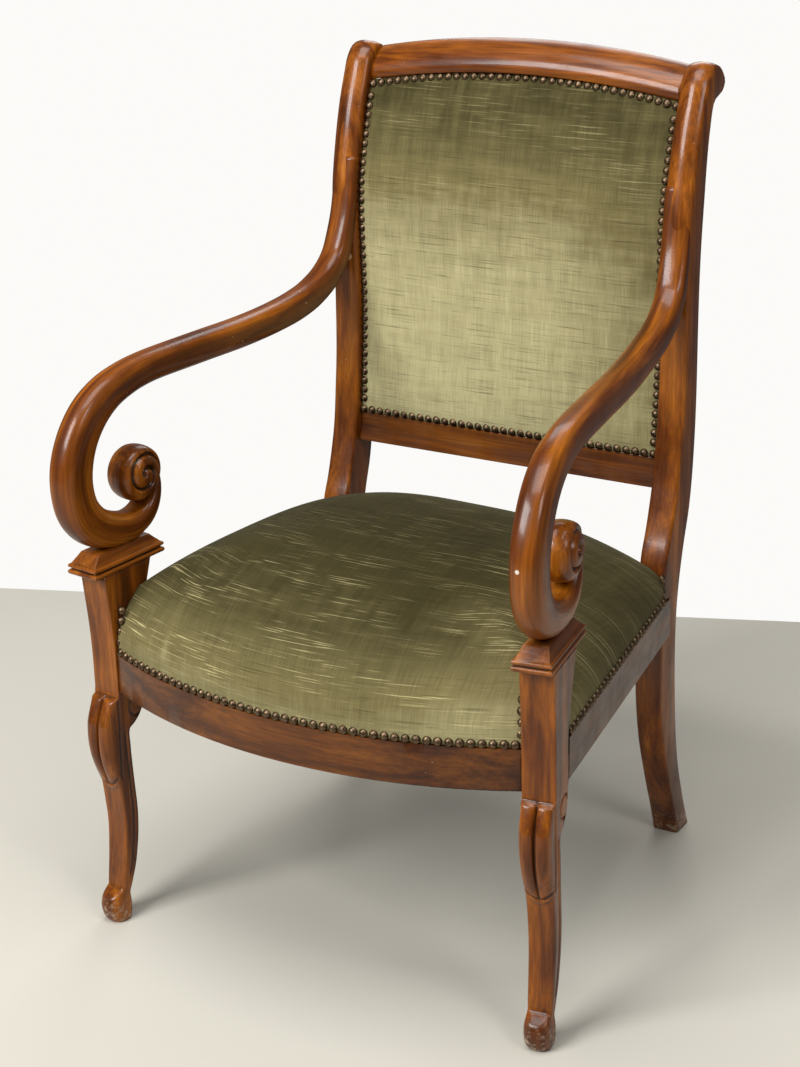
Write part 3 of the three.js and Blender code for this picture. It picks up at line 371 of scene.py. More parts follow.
# One walnut at three levels: the carved pieces are painted brighter as painted light, the rails darker as
# painted shade.
carved_walnut = walnut("carved_walnut", "Z", 1.42, "grain")
crosswise_walnut = walnut("crosswise_walnut", "X", 0.72)
lengthwise_walnut = walnut("lengthwise_walnut", "Y", 0.6)
seat_velvet = velvet("seat_velvet", 0.85, 0.18)
back_velvet = velvet("back_velvet", 0.3, 0.3)
bronze = speckled("bronze", (0.03, 0.019, 0.011), (0.22, 0.15, 0.09), 320.0, 0.42, 1.0)
beech = speckled("beech", (0.42, 0.27, 0.15), (0.62, 0.45, 0.28), 60.0, 0.7, 0.0, (1, 6, 1))
jute = speckled("jute", (0.3, 0.22, 0.12), (0.5, 0.4, 0.25), 500.0, 0.95)
hair = speckled("hair", (0.05, 0.04, 0.03), (0.2, 0.15, 0.1), 300.0, 1.0)
wire = speckled("wire", (0.2, 0.19, 0.18), (0.45, 0.43, 0.41), 200.0, 0.4, 0.9)
black_cotton = speckled("black_cotton", (0.012, 0.012, 0.012), (0.035, 0.034, 0.033), 700.0, 0.95)

SIDES = ((1, "left"), (-1, "right"))


# Scroll arms. Each station: distance behind the post's middle, height, half thickness, half width.
ARM_STATIONS = [
    (430, 800, 8, 15.5), (427.6, 784, 8.5, 16), (425, 760, 10, 16.2), (420, 735, 10.8, 16.3),
    (412.6, 712, 11.8, 16.5), (401, 686, 14, 16.5),
    (381, 667, 15.5, 16.5), (350.6, 653, 16.5, 16.5), (320.6, 646, 17, 16.5), (280.6, 641, 17, 16.5),
    (225, 638, 17, 16.5), (140, 638, 17, 16.5), (60, 637, 17, 16.5), (28, 632.5, 18, 16.7),
    (0, 623.9, 19.5, 17), (-25, 607.9, 21.5, 17.2), (-44, 584.7, 22.5, 17.4), (-55, 557.5, 23.5, 17.5),
    (-57, 532.4, 23.5, 17.5), (-51, 506.3, 23.5, 17.5), (-34, 485.2, 22.5, 17.5), (-8, 472.5, 20, 17.5),
    (20, 469, 16, 17.5), (41, 476, 13, 17.3), (54, 491, 9.5, 16.5), (60.5, 510, 6, 14), (62, 527, 3, 9)]
ARM_SQUARENESS = 2.7
ARM_SHIFT = 4.8
VOLUTE_MIDDLE = (37, 524.3)
VOLUTE_RADIUS = 31
VOLUTE_HALF = 18.5
SPIRAL_PITCH = 14.0
SPIRAL_START = 29.0
SPIRAL_DEPTH = 5.0
SPIRAL_WIDTH = 2.4


def arm_limb():
    rows, columns = 230, 44
    line = smooth_path(ARM_STATIONS, rows)
    along = np.gradient(line[:, :2], axis=0)
    along /= np.linalg.norm(along, axis=1)[:, None]
    angle = np.linspace(0, 2 * np.pi, columns, endpoint=False)
    power = 2 / ARM_SQUARENESS
    wide = np.sign(np.cos(angle)) * np.abs(np.cos(angle)) ** power
    thick = np.sign(np.sin(angle)) * np.abs(np.sin(angle)) ** power
    points = np.zeros((rows, columns, 3))
    to_upright = ARM_SHIFT * ease(300, 415, line[:, 0:1])
    points[:, :, 0] = to_upright + line[:, 3:4] * wide
    points[:, :, 1] = line[:, 0:1] + line[:, 2:3] * thick * -along[:, 1:2]
    points[:, :, 2] = line[:, 1:2] + line[:, 2:3] * thick * along[:, 0:1]
    points[:, :, 2] = np.maximum(points[:, :, 2], CAP_TOP + 0.3)
    run = np.cumsum(np.concatenate([[0], np.linalg.norm(np.diff(line[:, :2], axis=0), axis=1)]))
    grain = np.stack([points[:, :, 0], np.broadcast_to(line[:, 2:3] * thick, (rows, columns)),
                      np.broadcast_to(run[:, None], (rows, columns))], axis=2)
    return points.reshape(-1, 3), skin_faces(rows, columns, True, True), grain.reshape(-1, 3)


def spiral_groove(back, up):
    """Depth of the carved spiral at a place on the volute's face."""
    far = np.hypot(back, up)
    turn = (np.arctan2(up, back) + np.pi / 2) % (2 * np.pi)
    depth = np.zeros_like(far)
    for lap in range(2):
        ridge = SPIRAL_START - SPIRAL_PITCH * (turn / (2 * np.pi) + lap)
        strength = ease(3, 6, ridge)
        depth = np.maximum(depth, strength * np.exp(-((far - ridge) / SPIRAL_WIDTH) ** 2))
    return SPIRAL_DEPTH * depth


def arm_volute():
    profile = [(r, VOLUTE_HALF + 3.0 - 8.0 * (r / VOLUTE_RADIUS) ** 2) for r in np.linspace(0.4, 25.5, 26)]
    profile += [(27.5, 14.2), (29.2, 11.8), (30.3, 8.6), (31.0, 5.0), (31.3, 1.6)]
    outer = np.array(profile + [(r, -u) for r, u in reversed(profile)])
    count = 110
    angle = np.linspace(0, 2 * np.pi, count, endpoint=False)
    back = outer[:, 0:1] * np.cos(angle)
    up = outer[:, 0:1] * np.sin(angle)
    face = np.clip((np.abs(outer[:, 1:2]) - 9) / 4, 0, 1)
    u = outer[:, 1:2] - np.sign(outer[:, 1:2]) * face * spiral_groove(back, up)
    points = np.stack([u, VOLUTE_MIDDLE[0] + back, VOLUTE_MIDDLE[1] + up], axis=2)
    grain = np.stack([u, back, up * 0.6 + 40], axis=2)
    return points.reshape(-1, 3), skin_faces(len(outer), count, True, True), grain.reshape(-1, 3)


def make_arms():
    limb, limb_faces, limb_grain = arm_limb()
    roll, roll_faces, roll_grain = arm_volute()
    points = np.vstack([limb, roll])
    faces = limb_faces + [tuple(i + len(limb) for i in face) for face in roll_faces]
    grain = np.vstack([limb_grain, roll_grain])
    for side, word in SIDES:
        make_piece(f"scroll_arm_{word}", side_place(points, side), faces, carved_walnut,
                   [f"arm_{word}"], grain + side * 31)


# Back uprights: a side outline from the foot up the face, over the rolled head and down the back.
UPRIGHT_OUTLINE = [
    (435.4, 0), (424.4, 31), (398.4, 92), (375.4, 153), (364, 209), (362.4, 250), (363.6, 290), (366.4, 339),
    (368.4, 362), (373, 386), (383.4, 410), (393.4, 439), (402.4, 472), (409, 518), (414, 563), (416.6, 621),
    (417.6, 680), (419, 762), (423, 788), (429, 815), (435.6, 840), (444, 866), (454.4, 891), (464, 911),
    (477.4, 922), (491, 922), (502, 914), (508.4, 903), (502, 893), (490, 889), (478, 884), (468.4, 856),
    (462.4, 824), (457.4, 781), (452.6, 737), (450, 693), (449.4, 647), (449.6, 553), (447.4, 506),
    (442.4, 459), (435.4, 424), (422.4, 386), (412, 346), (406.4, 310), (404.8, 260), (407.4, 208),
    (412.4, 163), (425.4, 107), (446.4, 51), (468.4, 0)]
HEAD_PLACE = 24
UPRIGHT_ROUND = 3.0


def make_uprights():
    rows = 300
    marked = [(y, z, i) for i, (y, z) in enumerate(UPRIGHT_OUTLINE)]
    line = smooth_path(marked, rows)
    along = np.gradient(line[:, :2], axis=0)
    along /= np.linalg.norm(along, axis=1)[:, None]
    outward = np.stack([-along[:, 1], along[:, 0]], axis=1)
    on_face = 1 - ease(HEAD_PLACE - 1, HEAD_PLACE + 2, line[:, 2])
    bulge = on_face * (1 + 6.5 * ease(655, 760, line[:, 1]))
    half = UPRIGHT_WIDTH / 2
    turn = np.radians([90, 67, 45, 22, 0])
    edge = [(half - UPRIGHT_ROUND * (1 - math.sin(t)), UPRIGHT_ROUND * (1 - math.cos(t))) for t in turn]
    middle = [(x, 0.0) for x in np.linspace(half - UPRIGHT_ROUND, UPRIGHT_ROUND - half, 11)[1:-1]]
    columns = edge + middle + [(-x, inset) for x, inset in reversed(edge)]
    points = np.zeros((rows, len(columns), 3))
    toe_in = 4 * (1 - ease(0, 209, line[:, 1]))
    for c, (x, inset) in enumerate(columns):
        push = bulge * (1 - (x / half) ** 2) - inset
        points[:, c, 0] = BACK_SPREAD / 2 - toe_in + x
        points[:, c, 1] = line[:, 0] + outward[:, 0] * push
        points[:, c, 2] = np.maximum(line[:, 1] + outward[:, 1] * push, 0)
    faces = skin_faces(rows, len(columns), False, False)
    n = len(columns)
    faces.append(tuple(r * n for r in range(rows)))
    faces.append(tuple(r * n + n - 1 for r in range(rows)))
    faces.append(tuple(range(n)) + tuple(range(rows * n - 1, (rows - 1) * n - 1, -1)))
    flat = points.reshape(-1, 3)
    for side, word in SIDES:
        placed = flat * np.array([side, 1, 1])
        make_piece(f"rolled_upright_{word}", placed, faces, carved_walnut,
                   [f"back_upright_{word}"], flat + side * 57)


# Front legs: rolled toe, panelled shank, knee of two carved lobes, ear, block and post.
LEG_FRONT = smooth_line([
    (0, -50), (6, -54), (16, -57), (25, -57), (32, -54), (37, -47), (41, -40), (55, -37), (80, -33.5),
    (105, -31), (124, -30.5), (145, -32), (165, -34), (190, -37), (218, -39), (252, -38), (276, -33.5),
    (283, -32.5), (289, -31.5), (351, -32), (430, -38.5)])
LEG_BACK = smooth_line([
    (0, -32), (20, -30), (33, -30), (44, -26), (66, -18), (90, -13), (108, -10.5), (134, -9.5), (160, -11),
    (193, -14), (219, -15.5), (239, -15), (244, -6), (250, 1), (258, 6), (268, 9), (283, 10), (289, 10),
    (351, 12), (430, 35)])
LEG_HALF = smooth_line([
    (0, 12.5), (5, 14.3), (16, 15), (28, 14.6), (36, 13.4), (42, 13.6), (80, 14.4), (124, 15), (165, 15.4),
    (200, 16.6), (252, 17.2), (281, 17.4), (284, 18), (430, 18)])
LEG_FLARE = smooth_line([(0, 3), (165, 2), (283, 0), (430, 0)])
KNEE_LOW = 170.0
KNEE_HIGH = 282.0
LOBE_PROUD = 14.0


def make_front_legs():
    levels = np.concatenate([np.linspace(0, 46, 40), np.linspace(48, 160, 48), np.linspace(161.5, 290, 92),
                             np.linspace(294, POST_TOP, 20)])
    across = np.linspace(-1, 1, 41)
    deep = np.linspace(0, 1, 26)[1:-1]
    rings = []
    for z in levels:
        front, back, half, flare = (float(f(z)) for f in (LEG_FRONT, LEG_BACK, LEG_HALF, LEG_FLARE))
        softness = 0.85 * (1 - ease(28, 46, z)) + 0.16 * (1 - ease(272, 284, z)) * ease(28, 46, z) + 0.03
        shoulder = softness * half
        u = across * half
        corner = np.clip((np.abs(u) - (half - shoulder)) / shoulder, 0, 1)
        pull = shoulder * (1 - np.sqrt(np.maximum(1 - corner ** 2, 0)))
        lip = KNEE_LOW + 3 + 13 * (np.abs(across)) ** 2.4
        carved = ease(lip, lip + 4, z) * (1 - ease(KNEE_HIGH - 2.5, KNEE_HIGH, z))
        swell = LOBE_PROUD * (0.22 + 0.78 * np.sin(np.pi / 2 * np.clip((z - lip) / 58, 0, 1)))
        swell = swell * (0.3 + 0.7 * np.sqrt(np.clip((KNEE_HIGH - z) / 30, 0, 1)))
        lobe = np.sqrt(np.maximum(1 - ((np.abs(across) - 0.48) / 0.53) ** 2, 0.0))
        rim = 1.8 * np.exp(-((z - lip + 3) / 2.4) ** 2) * (z > 150)
        front_v = front + pull - carved * swell * (0.5 + 0.5 * lobe) - rim
        groove = carved * 3.0 * np.exp(-(u / 1.3) ** 2)
        face = np.stack([flare + u, front_v + groove, np.full_like(u, z)], axis=1)
        start = front_v[-1]
        v = start + (back - start) * deep
        bead = (ease(52, 62, z) - ease(232, 242, z)) * 1.9 * np.exp(-((v - back + 6.5) / 1.5) ** 2)
        ear = 2.0 * np.exp(-((np.hypot(v + 2, z - 264) - 12.5) / 1.6) ** 2) * (v > -16) * (z < 283)
        step = (ease(178, 186, z) - ease(276, 282, z)) * 2.3 * np.exp(-((v + 31) / 1.8) ** 2)
        side_u = half - bead - ear - step
        right = np.stack([flare + side_u, v, np.full_like(v, z)], axis=1)
        left = np.stack([flare - side_u, v, np.full_like(v, z)], axis=1)[::-1]
        rear_round = 0.1 * half
        edge = np.clip((np.abs(u) - (half - rear_round)) / rear_round, 0, 1)
        rear_v = back - rear_round * (1 - np.sqrt(np.maximum(1 - edge ** 2, 0)))
        rear = np.stack([flare + u, rear_v, np.full_like(u, z)], axis=1)[::-1]
        rings.append(np.vstack([face, right, rear, left]))
    rings = np.array(rings)
    faces = skin_faces(len(rings), rings.shape[1], True, True)
    flat = rings.reshape(-1, 3)
    for side, word in SIDES:
        make_piece(f"carved_leg_{word}", side_place(flat, side), faces, carved_walnut,
                   [f"front_leg_{word}"], flat + side * 83)


# Caps between the posts and the arms: two beads, a deep groove and a low sloping top.
CAP_HALF = 21.4
CAP_LENGTH = 108
CAP_OUTLINE = [
    (0, 2.6), (0.8, 1.0), (2, 0.2), (3.3, 0), (4.6, 0.3), (5.6, 1.3), (6.2, 3.2), (7.0, 3.5), (7.6, 2.6),
    (8.2, 1.2), (9.2, 0.5), (10.4, 0.4), (11.6, 0.9), (12.4, 2.2), (12.9, 3.4), (14.5, 4.2), (19, 6.2),
    (23.3, 8.0), (24, 8.6)]
CAP_END_SLOPE = 6


def make_caps():
    corner = 0.7
    turn = np.linspace(0, np.pi / 2, 5)
    rings = []
    for rise, inset in CAP_OUTLINE:
        half_u = CAP_HALF - inset
        half_v = CAP_LENGTH / 2 - inset - CAP_END_SLOPE * ease(13, 24, rise)
        ring = []
        for sign_u, sign_v, start in ((1, 1, 0), (-1, 1, 1), (-1, -1, 2), (1, -1, 3)):
            for t in turn:
                angle = t + start * np.pi / 2
                ring.append((sign_u * (half_u - corner) + corner * np.cos(angle),
                             sign_v * (half_v - corner) + corner * np.sin(angle), POST_TOP + 0.3 + rise))
        steps = []
        for k, point in enumerate(ring):
            after = ring[(k + 1) % len(ring)]
            count = 14 if k % 5 == 4 else 1
            for s in range(count):
                steps.append(tuple(point[i] + (after[i] - point[i]) * s / count for i in range(3)))
        rings.append(steps)
    rings = np.array(rings)
    faces = skin_faces(len(rings), rings.shape[1], True, True)
    low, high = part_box("arm_cap_left")
    middle_x = (low.x + high.x) / 2 / MM - POST_X
    middle_y = (low.y + high.y) / 2 / MM - POST_Y
    middle = np.array([middle_x * COS + middle_y * SIN, middle_y * COS - middle_x * SIN, 0])
    flat = rings.reshape(-1, 3) + middle
    grain = flat[:, [0, 2, 1]]
    for side, word in SIDES:
        make_piece(f"moulded_cap_{word}", side_place(flat, side), faces, carved_walnut,
                   [f"arm_cap_{word}"], grain + side * 19)


# Crest rail: a rolled section carried along an arch.
UPRIGHT_FACE = smooth_line([
    (289, 0), (351, 1), (386.4, 9), (455, 34), (517.2, 45), (621.5, 53), (761.5, 54), (840.5, 72), (885, 88),
    (924, 104)])
CREST_SECTION = [
    (0, 0), (-1.5, 6), (0, 13), (4.5, 20.5), (12, 27.5), (22, 33), (33, 35), (41, 31), (45, 22), (41, 13),
    (32, 8), (22, 4), (21, 0)]


def panel_line(z):
    return SEAT_DEPTH + UPRIGHT_FACE(z) + PANEL_SETBACK


def crest_arch(x):
    return CREST_RISE * (1 - (x / UPRIGHT_INNER) ** 2)


def make_crest():
    section = smooth_path(CREST_SECTION, 70)
    x = np.linspace(-UPRIGHT_INNER + 0.3, UPRIGHT_INNER - 0.3, 90)
    base = float(panel_line(CREST_LEVEL))
    points = np.zeros((len(x), len(section), 3))
    points[:, :, 0] = x[:, None]
    points[:, :, 1] = base + section[None, :, 0]
    points[:, :, 2] = CREST_LEVEL + section[None, :, 1] + crest_arch(x)[:, None]
    flat = points.reshape(-1, 3)
    grain = np.stack([flat[:, 1], flat[:, 2], flat[:, 0]], axis=1)
    make_piece("rolled_crest", flat, skin_faces(len(x), len(section), True, True), carved_walnut,
               ["crest_rail"], grain)


# Seat: a tight dome over the springs, its edge turned down into the rails' step.
def dome_height(x, y, inset):
    """Height of the seat's dome, and how near each place is to the edge, from 0 to 1."""
    reach = POST_HALF - inset
    away_x, away_y = x, y - SEAT_MIDDLE
    limit = reach + POST_X * COS - SEAT_MIDDLE * SIN
    side = (np.abs(away_x) * COS + away_y * SIN) / limit
    rear = away_y / (SEAT_BACK - inset - SEAT_MIDDLE)
    gap = SEAT_MIDDLE - BOW_CENTRE
    square = np.maximum(away_x ** 2 + away_y ** 2, 1e-9)
    along = away_y * gap
    grow = (-along + np.sqrt(along ** 2 - square * (gap ** 2 - (BOW_RADIUS - inset) ** 2))) / square
    share = np.clip(np.maximum.reduce([side, rear, 1 / grow]), 1e-6, 1)
    edge_x, edge_y = away_x / share, SEAT_MIDDLE + away_y / share
    sideways = np.abs(edge_x) / (POST_X + POST_HALF - edge_y * SIN / COS)
    lengthways = np.abs(edge_y - SEAT_MIDDLE) / (SEAT_BACK - SEAT_MIDDLE)
    corner = np.clip(share * np.minimum(sideways, lengthways), 0, 1)
    rise = (DOME_RISE - inset) * np.sqrt(1 - share ** DOME_FULLNESS) * np.sqrt(1 - corner ** DOME_FULLNESS)
    return RAIL_TOP + rise, share


def seat_edge(inset):
    reach = POST_HALF - inset
    radius = BOW_RADIUS - inset
    start = np.array([POST_X + reach * COS, reach * SIN])
    along = np.array([-SIN, COS])
    from_middle = start - np.array([0, BOW_CENTRE])
    half = from_middle @ along
    corner = start + along * (-half - math.sqrt(half ** 2 - from_middle @ from_middle + radius ** 2))
    rear = start + along * (SEAT_BACK - inset - start[1]) / COS
    return corner, rear, radius


def seat_sheet(inset, lift):
    corner, rear, radius = seat_edge(inset)
    sweep = math.asin(corner[0] / radius)
    a = np.sin(np.linspace(-np.pi / 2, np.pi / 2, 111))
    b = (np.sin(np.linspace(-np.pi / 2, np.pi / 2, 101)) + 1) / 2
    front = np.stack([radius * np.sin(a * sweep), BOW_CENTRE - radius * np.cos(a * sweep)], axis=1)
    back = np.stack([a * rear[0], np.full_like(a, SEAT_BACK - inset)], axis=1)
    plan = front[None] * (1 - b)[:, None, None] + back[None] * b[:, None, None]
    x, y = plan[:, :, 0], plan[:, :, 1]
    z, share = dome_height(x, y, inset)
    if lift:
        waves = np.sin(x * 0.021 + 1.3) * np.sin(y * 0.017 + 0.4) + 0.5 * np.sin(x * 0.043 - y * 0.028)
        z = z + (1 - share ** 6) * (1.5 + 0.9 * waves)
    return np.stack([x, y, z], axis=2)


def rim_loop(rows, columns):
    """Point numbers round the edge of a grid."""
    loop = [(0, c) for c in range(columns)] + [(r, columns - 1) for r in range(1, rows)]
    loop += [(rows - 1, c) for c in range(columns - 2, -1, -1)] + [(r, 0) for r in range(rows - 2, 0, -1)]
    return [r * columns + c for r, c in loop]


CREASE_X = -163
CREASE_WIDTH = 5
HEM = COVER_EDGE + 0.4
HEM_ROWS = 6


def make_seat():
    top = seat_sheet(COVER_INSET, True)
    rows, columns = top.shape[:2]
    points = [top.reshape(-1, 3)]
    faces = skin_faces(rows, columns, False, False)
    loop = rim_loop(rows, columns)
    edge = points[0][loop]
    last = loop
    for level in np.linspace(RAIL_TOP, HEM, HEM_ROWS)[1:]:
        ring = edge.copy()
        ring[:, 2] = level
        start = sum(len(p) for p in points)
        points.append(ring)
        here = list(range(start, start + len(ring)))
        for k in range(len(ring)):
            m = (k + 1) % len(ring)
            faces.append((last[k], last[m], here[m], here[k]))
        last = here
    start = sum(len(p) for p in points)
    points.append(seat_sheet(COVER_INSET + CLOTH, False).reshape(-1, 3))
    faces += [tuple(i + start for i in face) for face in skin_faces(rows, columns, False, False)]
    inner_loop = [i + start for i in loop]
    low = points[-1][loop].copy()
    low[:, 2] = HEM
    foot = sum(len(p) for p in points)
    points.append(low)
    for k in range(len(loop)):
        m = (k + 1) % len(loop)
        faces.append((inner_loop[k], inner_loop[m], foot + m, foot + k))
        faces.append((last[k], last[m], foot + m, foot + k))
    flat = np.vstack(points)
    # Painted sheen: paler towards the front and down its edge, darker on top, with small shifts on the left
    # and right sides.
    forward = np.clip((SEAT_MIDDLE + 40 - flat[:, 1]) / 250, 0, 1)
    low_down = np.clip((RAIL_TOP + 70 - flat[:, 2]) / 80, 0, 1)
    leftward = np.clip((60 - flat[:, 0]) / 400, 0, 1)
    rightward = ease(90, 230, flat[:, 0])
    painted_sheen = 0.12 + 0.6 * forward ** 1.3 * (0.35 + 0.65 * low_down) + 0.03 * leftward + 0.2 * rightward
    # The crease adds a pale line to the painted sheen.
    crease = np.exp(-((flat[:, 0] - CREASE_X) / CREASE_WIDTH) ** 2)
    crease = crease * (1 - ease(-20, 20, flat[:, 1])) * ease(352, 366, flat[:, 2])
    painted_sheen = painted_sheen + 0.13 * crease
    down = np.linalg.norm(np.diff(points[0].reshape(rows, columns, 3), axis=0), axis=2)
    run = np.vstack([np.zeros((1, columns)), np.cumsum(down, axis=0)]).reshape(-1)
    drops = np.linspace(0, COVER_EDGE - RAIL_TOP, HEM_ROWS)[1:]
    run = np.concatenate([run] + [run[loop] + drop for drop in drops] + [run, run[loop]])
    thread = np.stack([flat[:, 0], run, np.zeros_like(run)], axis=1)
    seat = make_piece("seat_cushion", flat, faces, seat_velvet, ["seat_cover"], thread, painted_sheen)
    cut_around(seat, ("front_leg_left", "front_leg_right", "back_upright_left", "back_upright_right"), 0.5)
    return seat


def cut_around(piece, nodes, room):
    """Cuts a piece back from the frame's own pieces, with a little room."""
    for name in nodes:
        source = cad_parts[name]
        mesh = source.data.copy()
        work = bmesh.new()
        work.from_mesh(mesh)
        bmesh.ops.remove_doubles(work, verts=work.verts, dist=1e-5)
        bmesh.ops.recalc_face_normals(work, faces=work.faces)
        work.normal_update()
        for vertex in work.verts:
            vertex.co += vertex.normal * room * MM
        work.to_mesh(mesh)
        work.free()
        knife = bpy.data.objects.new("knife", mesh)
        bpy.context.scene.collection.objects.link(knife)
        cut = piece.modifiers.new("cut", "BOOLEAN")
        cut.operation = "DIFFERENCE"
        cut.solver = "EXACT"
        cut.object = knife
        done = bpy.data.meshes.new_from_object(piece.evaluated_get(bpy.context.evaluated_depsgraph_get()))
        piece.modifiers.clear()
        piece.data = done
        bpy.data.objects.remove(knife)
    piece.data.shade_smooth()


# Back: a padded front cover and a plain rear cover, both bent to the uprights' line.
def panel_sheet(depth, crown, thick, margin):
    x = np.sin(np.linspace(-np.pi / 2, np.pi / 2, 81)) * (UPRIGHT_INNER - margin)
    t = (np.sin(np.linspace(-np.pi / 2, np.pi / 2, 91)) + 1) / 2
    low = BACK_RAIL_TOP + margin
    gx, gt = np.meshgrid(x, t)
    top = CREST_LEVEL - margin + crest_arch(gx)
    z = low + (top - low) * gt
    rx = np.abs(gx) / (UPRIGHT_INNER - margin)
    rz = np.abs(2 * gt - 1)
    pillow = crown * np.sqrt(1 - rx ** 5) * np.sqrt(1 - rz ** 5)
    y = panel_line(z) + depth - pillow
    front = np.stack([gx, y, z], axis=2).reshape(-1, 3)
    rear = np.stack([gx, panel_line(z) + depth + thick, z], axis=2).reshape(-1, 3)
    rows, columns = gx.shape
    faces = skin_faces(rows, columns, False, False)
    count = len(front)
    faces += [tuple(i + count for i in face) for face in faces]
    loop = rim_loop(rows, columns)
    for k in range(len(loop)):
        m = (k + 1) % len(loop)
        faces.append((loop[k], loop[m], loop[m] + count, loop[k] + count))
    return np.vstack([front, rear]), faces


def make_back():
    flat, faces = panel_sheet(0.0, 9.0, CLOTH, 0.5)
    # Painted sheen: pale low down and in the middle, darker towards the top and the right.
    below_top = 1 - ease(650, 900, flat[:, 2])
    toward_right = ease(20, 190, flat[:, 0])
    painted_sheen = 0.28 + 0.67 * below_top * (1 - 0.35 * toward_right)
    thread = flat[:, [0, 2, 1]] * np.array([1, 1, 0])
    pad = make_piece("back_cushion", flat, faces, back_velvet, ["back_cover"], thread, painted_sheen)
    flat, faces = panel_sheet(21.4, -4.0, 1.8, 0.5)
    flat[:len(flat) // 2, 1], flat[len(flat) // 2:, 1] = (
        flat[len(flat) // 2:, 1].copy() - 1.8, flat[:len(flat) // 2, 1].copy() + 1.8)
    thread = flat[:, [0, 2, 1]] * np.array([1, 1, 0])
    # The rear cover gets one even painted sheen level.
    rear = make_piece("rear_back_pad", flat, faces, back_velvet, ["outer_back_cover"], thread,
                      np.full(len(flat), 0.4))


# Nails: a row of domed heads along each edge of the velvet.
NAIL_PITCH = 11.0
NAIL_RADIUS = 4.9
NAIL_RISE = 3.6


def nail_head():
    profile = [(0.0, 1.0), (0.32, 0.95), (0.6, 0.8), (0.82, 0.55), (0.95, 0.24), (1.0, 0.02), (0.96, -0.1)]
    count = 12
    points = [(0, 0, NAIL_RISE * MM)]
    for r, h in profile[1:]:
        for k in range(count):
            turn = 2 * math.pi * k / count
            points.append((r * NAIL_RADIUS * MM * math.cos(turn), r * NAIL_RADIUS * MM * math.sin(turn),
                           h * NAIL_RISE * MM))
    faces = [(0, 1 + k, 1 + (k + 1) % count) for k in range(count)]
    for ring in range(len(profile) - 2):
        for k in range(count):
            a = 1 + ring * count + k
            b = 1 + ring * count + (k + 1) % count
            faces.append((a, a + count, b + count, b))
    faces.append(tuple(range(1 + (len(profile) - 2) * count, 1 + (len(profile) - 1) * count))[::-1])
    mesh = bpy.data.meshes.new("nail_head")
    mesh.from_pydata(points, [], faces)
    mesh.shade_smooth()
    head = bpy.data.objects.new("nail_head", mesh)
    bpy.context.scene.collection.objects.link(head)
    return head


def nail_tree():
    tree = bpy.data.node_groups.new("nail_rows", "GeometryNodeTree")
    face = tree.interface
    face.new_socket("Geometry", in_out="INPUT", socket_type="NodeSocketGeometry")
    face.new_socket("Pitch", in_out="INPUT", socket_type="NodeSocketFloat")
    face.new_socket("Head", in_out="INPUT", socket_type="NodeSocketObject")
    face.new_socket("Unevenness", in_out="INPUT", socket_type="NodeSocketFloat")
    face.new_socket("Geometry", in_out="OUTPUT", socket_type="NodeSocketGeometry")
    given = tree.nodes.new("NodeGroupInput")
    line = make_node(tree, "GeometryNodeMeshToCurve", None, Mesh=given.outputs["Geometry"])
    spaced = tree.nodes.new("GeometryNodeResampleCurve")
    spaced.mode = "LENGTH"
    tree.links.new(line.outputs[0], spaced.inputs["Curve"])
    tree.links.new(given.outputs["Pitch"], spaced.inputs["Length"])
    facing = tree.nodes.new("GeometryNodeInputNamedAttribute")
    facing.data_type = "FLOAT_VECTOR"
    facing.inputs["Name"].default_value = "facing"
    aim = tree.nodes.new("FunctionNodeAlignRotationToVector")
    tree.links.new(facing.outputs["Attribute"], aim.inputs["Vector"])
    head = make_node(tree, "GeometryNodeObjectInfo", None, Object=given.outputs["Head"])
    low = make_node(tree, "ShaderNodeMath", {"operation": "SUBTRACT"}, _0=1.0, _1=given.outputs["Unevenness"])
    high = make_node(tree, "ShaderNodeMath", {"operation": "ADD"}, _0=1.0, _1=given.outputs["Unevenness"])
    size = tree.nodes.new("FunctionNodeRandomValue")
    size.data_type = "FLOAT"
    floats = [s for s in size.inputs if s.type == "VALUE"]
    tree.links.new(low.outputs[0], floats[0])
    tree.links.new(high.outputs[0], floats[1])
    size.inputs["Seed"].default_value = 7
    chance = [s for s in size.outputs if s.type == "VALUE"][0]
    heads = make_node(tree, "GeometryNodeInstanceOnPoints", None, Points=spaced.outputs[0],
                      Instance=head.outputs["Geometry"], Rotation=aim.outputs[0], Scale=chance)
    real = make_node(tree, "GeometryNodeRealizeInstances", None, Geometry=heads.outputs[0])
    painted = make_node(tree, "GeometryNodeSetMaterial", None, Geometry=real.outputs[0], Material=bronze)
    result = tree.nodes.new("NodeGroupOutput")
    tree.links.new(painted.outputs[0], result.inputs[0])
    return tree


def make_nails(name, rows, tree, head):
    """Nails along rows of (points, facings), turned into a plain mesh."""
    points, edges, facings = [], [], []
    for line, facing in rows:
        start = len(points)
        placed = np.array(line, float)
        placed[:, 1] += POST_Y
        points += (placed * MM).tolist()
        facings += np.array(facing, float).tolist()
        edges += [(start + k, start + k + 1) for k in range(len(line) - 1)]
    mesh = bpy.data.meshes.new(name)
    mesh.from_pydata(points, edges, [])
    mesh.attributes.new("facing", "FLOAT_VECTOR", "POINT").data.foreach_set(
        "vector", np.array(facings, np.float32).ravel())
    piece = bpy.data.objects.new(name, mesh)
    bpy.context.scene.collection.objects.link(piece)
    nailing = piece.modifiers.new("nailing", "NODES")
    nailing.node_group = tree
    sockets = {s.name: s.identifier for s in tree.interface.items_tree if s.in_out == "INPUT"}
    nailing[sockets["Pitch"]] = NAIL_PITCH * MM
    nailing[sockets["Head"]] = head
    nailing[sockets["Unevenness"]] = 0.05
    made = bpy.data.meshes.new_from_object(piece.evaluated_get(bpy.context.evaluated_depsgraph_get()))
    piece.modifiers.clear()
    piece.data = made
    made.shade_smooth()
    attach(piece, "root")


